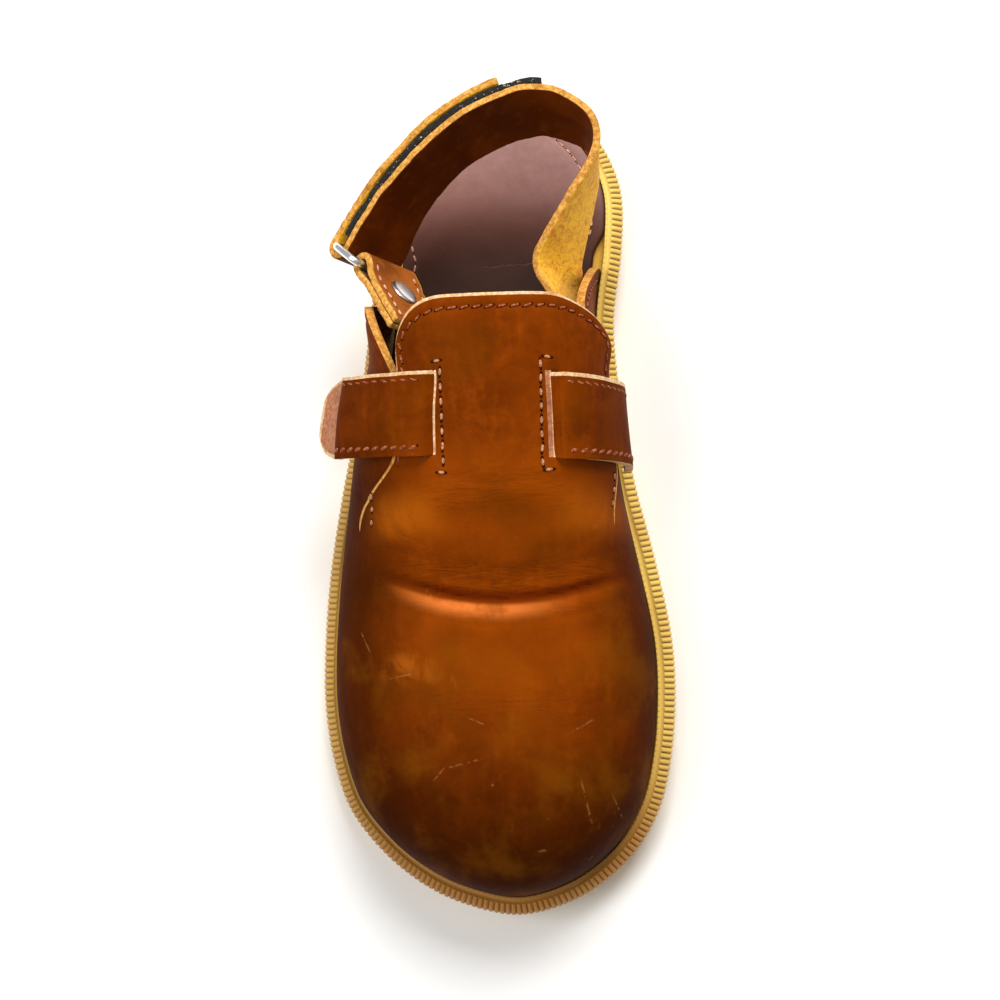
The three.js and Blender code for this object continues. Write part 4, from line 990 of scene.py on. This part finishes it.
def insole_ring(share, extra, drop):
    """A line round the insole, moved inwards by extra and drop under its top."""
    rough = outline_at(share, 5.0)
    ring = outline_at(share, insole_inset(rough[:, 1]) + extra)
    return np.column_stack([ring, seat(ring[:, 1]) + INSOLE_THICKNESS - drop])


def make_insole():
    """Profile: inset, then depth under the top; the groove at 3.2 takes the stitches."""
    profile = [(0.3, INSOLE_THICKNESS), (0.0, INSOLE_THICKNESS - 0.3), (0.0, 0.55), (0.2, 0.15), (0.6, 0.0),
               (2.2, 0.02), (2.85, 0.1), (3.2, 0.32), (3.6, 0.1), (4.4, 0.02), (8.0, 0.1), (13.0, 0.25)]
    share = np.arange(420) / 420
    bm = lofted([insole_ring(share, extra, drop) for extra, drop in profile])
    finish_piece(bm, "insole_leather", [INSOLE], "insole")


make_outsole()
make_welt()
make_insole()


# Straps

def smooth_rows(rows, count):
    """More rows between the given ones, evenly spaced by the run of their middles."""
    rows = np.asarray(rows, float)
    middle = rows[:, rows.shape[1] // 2]
    run = run_along(middle)
    at = np.linspace(0, run[-1], count)
    flat = rows.reshape(len(rows), -1)
    table = np.column_stack([run, flat])
    return np.stack([read_rows(table, c, at) for c in range(1, table.shape[1])], axis=1).reshape(
        count, rows.shape[1], 3)


def strap_sheet(rows, width, across, wave, seed=1, skin=None):
    """Sheet through rows of points, its cut edges a little uneven."""
    rows = np.asarray(rows, float)
    chaos = np.random.default_rng(seed)
    ripple = np.convolve(chaos.normal(size=len(rows) + 8), np.ones(9) / 9, "valid") * wave * 3
    bm = bmesh.new()
    rims = np.array([0.6, STRAP_RIM]) / width
    fine = np.unique(np.concatenate([np.linspace(0, 1, across), rims, 1 - rims]))
    side_dir = unit(rows[:, -1] - rows[:, 0])

    def place(u, k):
        k = k.astype(int)
        share = u * (rows.shape[1] - 1)
        cell = np.minimum(share.astype(int), rows.shape[1] - 2)
        part = (share - cell)[:, None]
        point = lerp(rows[k, cell], rows[k, cell + 1], part)
        return point + side_dir[k] * (ripple[k] * (u - 0.5) * 2)[:, None]

    grid(bm, fine, np.arange(len(rows)), place, skin)
    return bm


ACROSS = np.array([-0.5, -0.25, 0, 0.25, 0.5])
INSTEP_COLUMNS = 61


def straight_row(at, up, width):
    return at + up * (ACROSS * width)[:, None]


def quarter_row(along, turn, offset, width):
    y = along * SHOE_LENGTH
    reach = np.linalg.norm(on_last(y, turn + 4, offset) - on_last(y, turn - 4, offset)) / 8
    return on_last(np.full(5, y), turn - np.sign(turn) * ACROSS * width / reach, np.full(5, offset))


UNDER = -INSTEP_STRAP_THICKNESS / 2 - HAIR
OVER = LEATHER + FLAP_GAP + CLEARANCE + HAIR + INSTEP_STRAP_THICKNESS / 2


def instep_rows(count):
    """Rows of points over the instep strap, and each row's turn from the ridge."""
    keys = np.arange(len(INSTEP_ROWS), dtype=float)
    table = np.column_stack([keys, INSTEP_ROWS])
    at = np.linspace(0, len(keys) - 1, count)
    turn, layer, proud, wide = [read_rows(table, c, at) for c in range(1, 5)]
    shares = np.linspace(-0.5, 0.5, INSTEP_COLUMNS)
    centre = last_point(INSTEP_ALONG * SHOE_LENGTH, turn)
    y = (INSTEP_ALONG * SHOE_LENGTH + INSTEP_SKEW * centre[:, 0])[:, None] + shares[None] * (
        INSTEP_STRAP_WIDTH * wide)[:, None]
    offset = lerp(UNDER, OVER, layer) + proud
    grid_turn = np.broadcast_to(turn[:, None], y.shape)
    grid_offset = np.broadcast_to(offset[:, None], y.shape)
    return on_last(y, grid_turn, grid_offset), turn


def instep_skin(u, k):
    """0 for the grain, 2 for cut edges and 3 for the rubbed tip, which takes the first rows."""
    rim = STRAP_RIM / INSTEP_STRAP_WIDTH
    cut_rim = (u < rim) | (k < 14) | ((u > 1 - rim) & (k < 58))
    return np.where(cut_rim, 2, np.where(k < 60, 3, 0))


def make_instep_strap():
    bm = strap_sheet(instep_rows(300)[0], INSTEP_STRAP_WIDTH, INSTEP_COLUMNS, wave=0.05, skin=instep_skin)
    turn_out(bm, lambda at: at - Vector((FOOT_X, at.y, 15)))
    finish_piece(bm, "instep_strap_leather", [SADDLE, LINING, EDGE_RAW, STRAP_TIP, LINING, EDGE_RAW],
                 "instep_strap", leather_wall(INSTEP_STRAP_THICKNESS, 0, 0.4), WELD)


UP = unit(np.array([0.5, -0.1, 0.86]))
HINT = np.array([0.66, -0.6, -0.45])
OUT = unit(HINT - UP * HINT.dot(UP))
RUN = np.cross(UP, OUT)
RING_CENTRE = np.array([RING_MIDDLE[0] * BALL_WIDTH, RING_MIDDLE[1] * SHOE_LENGTH, RING_MIDDLE[2] * INSTEP_HEIGHT])
BAR_OUT = RING_SHORT / 2 - WIRE / 2


def ring_point(run, out, up):
    return RING_CENTRE + RUN * run + OUT * out + UP * up


def open_curve(points, at):
    """Curve through points, read at shares of its point count."""
    p = np.asarray(points, float)
    last = len(p) - 1
    ends = np.vstack([2 * p[0] - p[1], p, 2 * p[-1] - p[-2]])
    k = np.minimum(np.floor(at * last).astype(int), last - 1)
    t = (at * last - k)[:, None]
    return centripetal(ends[k], ends[k + 1], ends[k + 2], ends[k + 3], t)


HEEL_SPOTS = HEEL_ROWS[:, :3] * np.array([BALL_WIDTH, SHOE_LENGTH, INSTEP_HEIGHT])
LAST_ROW = len(HEEL_ROWS) - 1


def smooth_path(steps=100, spread=55):
    """The heel strap's middle line with its bends evened out, in steps of a hundredth of a row."""
    path = open_curve(HEEL_SPOTS, np.linspace(0, 1, LAST_ROW * steps + 1))
    reach = 3 * spread
    padded = np.vstack([2 * path[0] - path[reach:0:-1], path, 2 * path[-1] - path[-2:-reach - 2:-1]])
    weights = np.exp(-0.5 * (np.arange(-reach, reach + 1) / spread)**2)
    return np.stack([np.convolve(padded[:, k], weights / weights.sum(), "valid") for k in range(3)], axis=1)


STRAP_PATH = smooth_path()
STRAP_RUN = np.gradient(STRAP_PATH, axis=0)


def strap_row(row, offset, width):
    """Points across the heel strap at a row of its table, moved out by offset."""
    key = np.clip(row, 0, LAST_ROW) * (len(STRAP_PATH) - 1) / LAST_ROW
    at, run = [read_line(key, np.arange(len(line)), line) for line in (STRAP_PATH, STRAP_RUN)]
    run = unit(np.array([run[0], run[1], 0]))
    outward = np.array([-run[1], run[0], 0])
    away = at - np.array([-0.05 * BALL_WIDTH, 0.25 * SHOE_LENGTH, at[2]])
    if outward.dot(away) < 0:
        outward = -outward
    table = np.column_stack([np.arange(len(HEEL_ROWS)), HEEL_ROWS[:, 3]])
    lean = math.radians(float(read_rows(table, 1, np.array([row]))[0]))
    up = outward * math.sin(lean) + np.array([0, 0, math.cos(lean)])
    face = outward * math.cos(lean) - np.array([0, 0, math.sin(lean)])
    return straight_row(at + face * offset, up, width)


LAYER_PITCH = STRAP_THICKNESS + HOOK_THICKNESS + 2 * CLEARANCE
STRAP_IN_RING = BAR_OUT - WIRE / 2 - CLEARANCE - HAIR - STRAP_THICKNESS / 2
TURN_RADIUS = BAR_OUT - STRAP_IN_RING
INSIDE = -LEATHER - CLEARANCE - 0.3


def heel_strap_rows():
    rows = [quarter_row(a, -STRAP_END_TURN, INSIDE - STRAP_THICKNESS / 2, STRAP_WIDTH) for a in STRAP_END_ALONG]
    rows += [strap_row(k / 6, 0, STRAP_WIDTH) for k in range(6 * LAST_ROW + 1)]
    rows.append(straight_row(ring_point(-3, STRAP_IN_RING, 0), UP, STRAP_WIDTH))
    for k in range(9):
        angle = math.pi * k / 8
        at = ring_point(TURN_RADIUS * math.sin(angle), BAR_OUT - TURN_RADIUS * math.cos(angle), 0)
        rows.append(straight_row(at, UP, STRAP_WIDTH))
    rows.append(straight_row(ring_point(-3, BAR_OUT + TURN_RADIUS, 0), UP, STRAP_WIDTH))
    rows += [strap_row(lerp(LAST_ROW - 0.2, RETURN_END, k / 28), LAYER_PITCH, STRAP_WIDTH) for k in range(29)]
    return rows


def make_heel_strap():
    rows = smooth_rows(heel_strap_rows(), 520)
    bm = strap_sheet(rows, STRAP_WIDTH, 33, wave=0.12, seed=4)
    # The outer face at the heel is the flesh side
    turn_out(bm, lambda at: at - Vector((-4, 50, 45)), lambda at: at.y < 30 and at.x < -20)
    finish_piece(bm, "heel_strap_leather", [FLESH, STRAP, EDGE_GOLD], "heel_strap",
                 leather_wall(STRAP_THICKNESS, 0, 0.45), WELD)


def make_hook_strip():
    width = STRAP_WIDTH - 0.9
    by_ring = straight_row(ring_point(-3.2, BAR_OUT, 0), UP, width)
    last = strap_row(LAST_ROW, LAYER_PITCH / 2, width)
    rows = [lerp(by_ring, last, k / 4) for k in range(4)]
    rows.append(strap_row(LAST_ROW - 0.2, LAYER_PITCH / 2, width))
    rows += [strap_row(lerp(HOOK_START, HOOK_END, k / 24), LAYER_PITCH / 2, width) for k in range(25)]
    bm = strap_sheet(smooth_rows(rows, 200), width, 17, wave=0.22, seed=9)
    finish_piece(bm, "hook_strip_tape", [TAPE], "hook_strip", [
        ("SOLIDIFY", {"thickness": HOOK_THICKNESS / 1000, "offset": 0, "use_even_offset": True}),
        ("BEVEL", {"width": 0.0002, "segments": 1, "limit_method": "ANGLE", "profile": 0.5}),
    ], WELD)


# Ring tab as the photo shows it: both legs lean outwards with the ring and run in under the flap
TAB_RADIUS = WIRE / 2 + CLEARANCE + HAIR + TAB_THICKNESS / 2
TAB_UP = unit(np.array([0.57, -0.10, 0.815]))
TAB_HINT = np.array([-0.48, 0.84, 0.44])
TAB_RUN = unit(TAB_HINT - TAB_UP * TAB_HINT.dot(TAB_UP))
TAB_FACE = np.cross(TAB_UP, TAB_RUN)
TAB_BAR = ring_point(0, -BAR_OUT, 0)
TAB_LENGTH = 20.0
RIVET_RUN = 8.5


def tab_gap(run):
    """Half the distance between the middles of the two legs."""
    return lerp(TAB_RADIUS, TAB_THICKNESS / 2 + HAIR, smooth(run / 6.5))


def tab_rows():
    def leg(run, side):
        at = TAB_BAR + TAB_RUN * run + TAB_FACE * side * tab_gap(run)
        return straight_row(at, unit(lerp(UP, TAB_UP, smooth(run / 5))), TAB_WIDTH)

    runs = np.linspace(TAB_LENGTH, 1.0, 12)
    rows = [leg(run, -1) for run in runs]
    for k in range(9):
        angle = math.pi * k / 8
        at = TAB_BAR - TAB_RUN * TAB_RADIUS * math.sin(angle) - TAB_FACE * TAB_RADIUS * math.cos(angle)
        rows.append(straight_row(at, UP, TAB_WIDTH))
    rows += [leg(run, 1) for run in runs[::-1]]
    return rows


def make_ring_tab():
    rows = smooth_rows(tab_rows(), 150)
    bm = strap_sheet(rows, TAB_WIDTH, 45, wave=0.1, seed=6,
                     skin=lambda u, k: np.where((u < 0.55 / TAB_WIDTH) | (u > 1 - 0.55 / TAB_WIDTH), 2, 0))
    turn_out(bm, lambda at: Vector(TAB_FACE), lambda at: (np.array(at) - TAB_BAR).dot(TAB_FACE) > 0.3)
    finish_piece(bm, "ring_tab_leather", [TAB_SKIN, LINING, EDGE_GOLD], "ring_tab",
                 leather_wall(TAB_THICKNESS, 0, 0.35), WELD)


make_instep_strap()
make_heel_strap()
make_hook_strip()
make_ring_tab()


# Metal

def make_ring():
    """Rectangular ring of round wire, with rounded corners."""
    long = STRAP_WIDTH + 2 * RING_SLACK + 2 * WIRE
    half_long = long / 2 - WIRE / 2
    corner = 2.0
    path = []
    for sx, sy, start in ((1, 1, 0), (-1, 1, 90), (-1, -1, 180), (1, -1, 270)):
        for k in range(9):
            angle = math.radians(start + 90 * k / 8)
            path.append((sx * (BAR_OUT - corner) + corner * math.cos(angle),
                         sy * (half_long - corner) + corner * math.sin(angle)))
    bm = bmesh.new()
    rings = []
    count = len(path)
    for k, (px, py) in enumerate(path):
        nx, ny = path[(k + 1) % count]
        bx, by = path[k - 1]
        t = unit(np.array([nx - bx, ny - by]))
        points = []
        for s in range(16):
            angle = 2 * math.pi * s / 16
            out = px + t[1] * math.cos(angle) * WIRE / 2
            up = py - t[0] * math.cos(angle) * WIRE / 2
            points.append(ring_point(math.sin(angle) * WIRE / 2, out, up))
        rings.append(closed_ring(bm, points)[1])
    bridge(bm, rings + rings[:1])
    bmesh.ops.recalc_face_normals(bm, faces=bm.faces)
    finish_piece(bm, "strap_ring", [NICKEL], "ring")


def spun(profile, steps=40):
    """A turned piece on the Z axis from radius and height pairs."""
    bm = bmesh.new()
    verts = [bm.verts.new((r, 0, h)) for r, h in profile]
    edges = [bm.edges.new((a, b)) for a, b in zip(verts, verts[1:])]
    bmesh.ops.spin(bm, geom=verts + edges, cent=(0, 0, 0), axis=(0, 0, 1), angle=2 * math.pi, steps=steps,
                   use_merge=True, use_duplicate=False)
    bmesh.ops.remove_doubles(bm, verts=bm.verts, dist=1e-4)
    bmesh.ops.recalc_face_normals(bm, faces=bm.faces)
    return bm


def make_rivet(node, at, facing, grip):
    """Cap rivet with its middle at a point; the domed cap looks the way that facing gives."""
    half = grip / 2 + CLEARANCE
    cap = RIVET_CAP / 2
    profile = [(0, -half - 0.5), (2.6, -half - 0.5), (2.9, -half - 0.38), (3.0, -half - 0.15), (2.9, -half),
               (1.3, -half), (1.3, half), (cap - 0.15, half), (cap, half + 0.15), (cap * 0.96, half + 0.38),
               (cap * 0.85, half + 0.62), (cap * 0.65, half + 0.82), (cap * 0.4, half + 0.94), (0, half + 1.0)]
    bm = spun(profile)
    turned = Vector((0, 0, 1)).rotation_difference(Vector(facing)).to_matrix().to_4x4()
    bmesh.ops.transform(bm, matrix=Matrix.Translation(Vector(at)) @ turned, verts=bm.verts)
    finish_piece(bm, node + "_cap", [NICKEL], node)


make_ring()
LATERAL_GRIP = LEATHER + 2 * TAB_THICKNESS + 1.0
MEDIAL_GRIP = LEATHER + CLEARANCE + HAIR + STRAP_THICKNESS + GRIP_SLACK
LATERAL_OUT = tab_gap(RIVET_RUN) + TAB_THICKNESS / 2 + HAIR - CLEARANCE - LATERAL_GRIP / 2
make_rivet("rivet_lateral", TAB_BAR + TAB_RUN * RIVET_RUN + TAB_FACE * LATERAL_OUT, TAB_FACE, LATERAL_GRIP)
MEDIAL_SPOT = (np.array([RIVET_MEDIAL[0] * SHOE_LENGTH]), np.array([RIVET_MEDIAL[1]]))
make_rivet("rivet_medial", on_last(*MEDIAL_SPOT, np.array([-MEDIAL_GRIP / 2]))[0],
           -last_normal(*MEDIAL_SPOT)[0], MEDIAL_GRIP)


# Stitches

def stitch_row(points, normals, pitch, length, thick, name, material, slant=0.0, proud=0.05, pit=0.45):
    """Threads along a line on a surface, evenly spaced, with a dark disc of painted shade at the needle hole at
    each end of each thread.
    """
    points = np.asarray(points, float)
    normals = unit(np.asarray(normals, float))
    run = run_along(points)
    count = max(int(run[-1] / pitch), 1)
    at = (np.arange(count) + 0.5) * run[-1] / count
    middle = read_line(at, run, points)
    up = unit(read_line(at, run, normals))
    along = unit(read_line(np.minimum(at + 0.4, run[-1]), run, points)
                 - read_line(np.maximum(at - 0.4, 0), run, points))
    chaos = np.random.default_rng(len(points) + count)
    threads = bmesh.new()
    hole_shades = bmesh.new()
    for m, u, a in zip(middle, up, along):
        side = unit(np.cross(u, a))
        tilt = math.radians(slant) + chaos.normal() * 0.07
        a2 = unit(a * math.cos(tilt) + side * math.sin(tilt))
        s2 = np.cross(u, a2)
        long = length * (1 + chaos.normal() * 0.06)
        turn = Matrix((a2, s2, u)).transposed().to_4x4()
        spot = Matrix.Translation(Vector(m + u * proud))
        size = Matrix.Diagonal((long / 2, thick / 2, thick * 0.42, 1))
        bmesh.ops.create_uvsphere(threads, u_segments=8, v_segments=6, radius=1, matrix=spot @ turn @ size
                                  @ Matrix.Rotation(math.pi / 2, 4, "Y"))
        # A flat near-black disc of painted shade at each needle hole
        for end in (-1, 1):
            hole = Matrix.Translation(Vector(m + a2 * end * long * 0.5 + u * 0.02))
            flat = Matrix.Diagonal((thick * pit, thick * 0.5, 0.06, 1))
            bmesh.ops.create_uvsphere(hole_shades, u_segments=8, v_segments=4, radius=1, matrix=hole @ turn @ flat)
    finish_piece(threads, name, [material], None)
    finish_piece(hole_shades, name + "_holes", [HOLE_SHADE], None)


def flap_surface(y, turn, extra=0.0):
    """Outer face of the flap at a turn from the ridge."""
    offset = flap_lift(y) + extra
    base = on_last(y, turn, offset)
    push = crease_push(base[..., 0], base[..., 1]) * np.cos(np.radians(turn))**0.5 + flap_flare(turn, y)
    return base + last_normal(y, turn) * push[..., None], last_normal(y, turn)


def flap_stitches():
    """One row along the flap's rear edge and a little way down both flanks."""
    s = np.linspace(-0.5, 0.5, 400)
    rear = flap_rear(s)
    y = rear + STITCH_INSET / REAR_SLOPE
    n = np.abs(s) / 0.5
    keep = (1 - n) * FLANK_MEDIAL >= STITCH_INSET
    turn = np.sign(s) * flap_turn(np.sign(s), y) * n
    down = 24
    side_left = np.linspace(rear[0] + down, y[keep][0], 60)
    inset = 1 - STITCH_INSET / FLANK_MEDIAL
    turn_left = -flap_turn(-1, side_left) * inset
    side_right = np.linspace(y[keep][-1], rear[-1] + down, 60)
    turn_right = flap_turn(1, side_right) * inset
    ys = np.concatenate([side_left, y[keep], side_right])
    turns = np.concatenate([turn_left, turn[keep], turn_right])
    points, normals = flap_surface(ys, turns, -0.1)
    stitch_row(points, normals, 2.9, 2.1, 0.62, "flap_edge_stitches", THREAD_RED, slant=14)


def slot_stitches():
    """A row beside each strap slot, with a short return at both ends."""
    for name, x0, back in (("slot_stitches_lateral", 6.3, 2.2), ("slot_stitches_medial", -15.4, -2.6)):
        ys = np.concatenate([np.full(8, SLOT_ROW_Y[0]), np.linspace(*SLOT_ROW_Y, 60), np.full(8, SLOT_ROW_Y[1])])
        xs = np.concatenate([np.linspace(x0 + back, x0, 8), np.full(60, x0), np.linspace(x0, x0 + back, 8)])
        turns = turn_for(xs, ys)
        points, normals = flap_surface(ys, turns, 0.0)
        stitch_row(points, normals, 3.2, 1.7, 0.75, name, THREAD_TAN, pit=0.95)


def turn_for(x, y):
    """The turn from the ridge at which the last's surface is over x."""
    turns = np.linspace(-80, 80, 321)
    out = []
    for a, b in zip(x, y):
        line = last_point(np.full_like(turns, b), turns)[:, 0]
        out.append(np.interp(a, line, turns))
    return np.array(out)


def strap_stitches():
    rows, turn = instep_rows(400)
    run_dir = np.gradient(rows[:, INSTEP_COLUMNS // 2], axis=0)
    for label, ok in (("lateral", (turn > 21.8) & (turn < 54)), ("medial", (turn < -21.2) & (turn > -76))):
        for edge, col in (("front", 54), ("rear", 7)):
            line = rows[ok][:, col]
            across = rows[ok][:, min(col + 3, INSTEP_COLUMNS - 1)] - rows[ok][:, col - 3]
            normal = unit(np.cross(run_dir[ok], across))
            if normal[:, 2].mean() < 0:
                normal = -normal
            line = line + normal * (INSTEP_STRAP_THICKNESS / 2 - 0.14)
            front = edge == "front"
            stitch_row(line, normal, 2.6, 2.1, 1.0 if front else 0.65, f"strap_stitches_{label}_{edge}", THREAD_RED,
                       slant=24 if front else -14, pit=0.6)


def slit_stitches():
    """Short bar tacks beside the ends of the two slits."""
    for name, line in (("slit_tack_lateral", [(24.0, 104.5), (25.2, 108.5), (26.3, 113.5)]),
                       ("slit_tack_medial", [(-29.4, 101.0), (-29.9, 105.0), (-30.4, 110.0)])):
        line = np.array(line)
        k = np.linspace(0, 2, 20)
        xs = np.interp(k, [0, 1, 2], line[:, 0])
        ys = np.interp(k, [0, 1, 2], line[:, 1])
        points, normals = flap_surface(ys, turn_for(xs, ys), 0.0)
        stitch_row(points, normals, 2.9, 1.6, 0.75, name, THREAD_TAN, pit=0.6)


def quarter_stitches():
    for name, rows, side in (("quarter_stitches_medial", QUARTER_MEDIAL, -1),
                             ("quarter_stitches_lateral", QUARTER_LATERAL, 1)):
        turn = np.linspace(56 if side > 0 else 50, 88, 60)
        y = SHOE_LENGTH * read_rows(rows, 1, turn) + 3.0
        points = on_last(y, side * turn, np.full_like(y, -0.16))
        stitch_row(points, last_normal(y, side * turn), 2.9, 2.0, 0.6, name, THREAD_RED)


def insole_stitches():
    points = insole_ring(np.linspace(0, 1, 1400), 3.2, 0.26)
    normals = np.tile((0, 0, 1.0), (len(points), 1))
    stitch_row(points, normals, 2.5, 1.7, 0.6, "insole_stitches", THREAD_PINK)


def tab_stitches():
    runs = np.linspace(1.5, TAB_LENGTH - 1, 60)
    for edge, place in (("upper", 1), ("lower", -1)):
        up = unit(lerp(UP[None], TAB_UP[None], smooth(runs / 5)[:, None]))
        line = (TAB_BAR + TAB_RUN * runs[:, None] + up * place * (TAB_WIDTH / 2 - 2.3)
                + TAB_FACE * (tab_gap(runs) + TAB_THICKNESS / 2 - 0.02)[:, None])
        stitch_row(line, np.tile(TAB_FACE, (len(runs), 1)), 2.9, 1.9, 0.65, "tab_stitches_" + edge, THREAD_PINK)


flap_stitches()
slot_stitches()
strap_stitches()
slit_stitches()
quarter_stitches()
insole_stitches()
tab_stitches()


# Camera, light, floor

EYE = Vector(TO_FRAME @ Vector((-52.5, 160.7, 560.0)))
AIM = Vector(TO_FRAME @ Vector((-2.5, 105.0, 20.0)))
PHOTO_ROLL = -0.9


def set_camera():
    data = bpy.data.cameras.new("camera")
    data.sensor_width = 36.0
    data.lens = 80.0
    data.clip_start = 0.05
    data.clip_end = 20.0
    camera = link_new("camera", data)
    back = (EYE - AIM).normalized()
    # Picture up is towards the heel, with the photo's small roll
    heelward = Matrix.Rotation(math.radians(PHOTO_ROLL), 3, "Z") @ Vector((0.0, -1.0, 0.0))
    right = heelward.cross(back).normalized()
    up = back.cross(right)
    camera.matrix_world = Matrix.Translation(EYE) @ Matrix((right, up, back)).transposed().to_4x4()
    bpy.context.scene.camera = camera


def area_light(name, place, aim, size, power, colour=(1, 1, 1)):
    data = bpy.data.lights.new(name, "AREA")
    data.shape = "RECTANGLE"
    data.size, data.size_y = size
    data.energy = power
    data.color = colour
    lamp = link_new(name, data)
    lamp.location = place
    lamp.rotation_euler = (Vector(aim) - Vector(place)).to_track_quat("-Z", "Y").to_euler()


def make_floor():
    bm = bmesh.new()
    bmesh.ops.create_grid(bm, x_segments=2, y_segments=2, size=3.0)
    mesh = bpy.data.meshes.new("studio_floor")
    bm.to_mesh(mesh)
    bm.free()
    floor = link_new("studio_floor", mesh)
    paint = Paint("studio_floor")
    mesh.materials.append(paint.finish(Base_Color=(0.92, 0.92, 0.92, 1.0), Roughness=0.9, Specular_IOR_Level=0.1))


def light_studio():
    world = bpy.data.worlds.new("studio")
    bpy.context.scene.world = world
    world.use_nodes = True
    sky = world.node_tree.nodes["Background"].inputs
    sky["Color"].default_value = (1.0, 0.99, 0.97, 1.0)
    sky["Strength"].default_value = 0.34
    area_light("key", (-0.20, -0.60, 0.82), (0, -0.01, 0.02), (0.5, 0.4), 10.5, (1.0, 0.98, 0.94))
    area_light("side", (0.55, 0.05, 1.0), (0, 0, 0.02), (0.5, 0.7), 5.5)
    bpy.context.scene.view_settings.view_transform = "Standard"


set_camera()
make_floor()
light_studio()

bpy.context.view_layer.update()
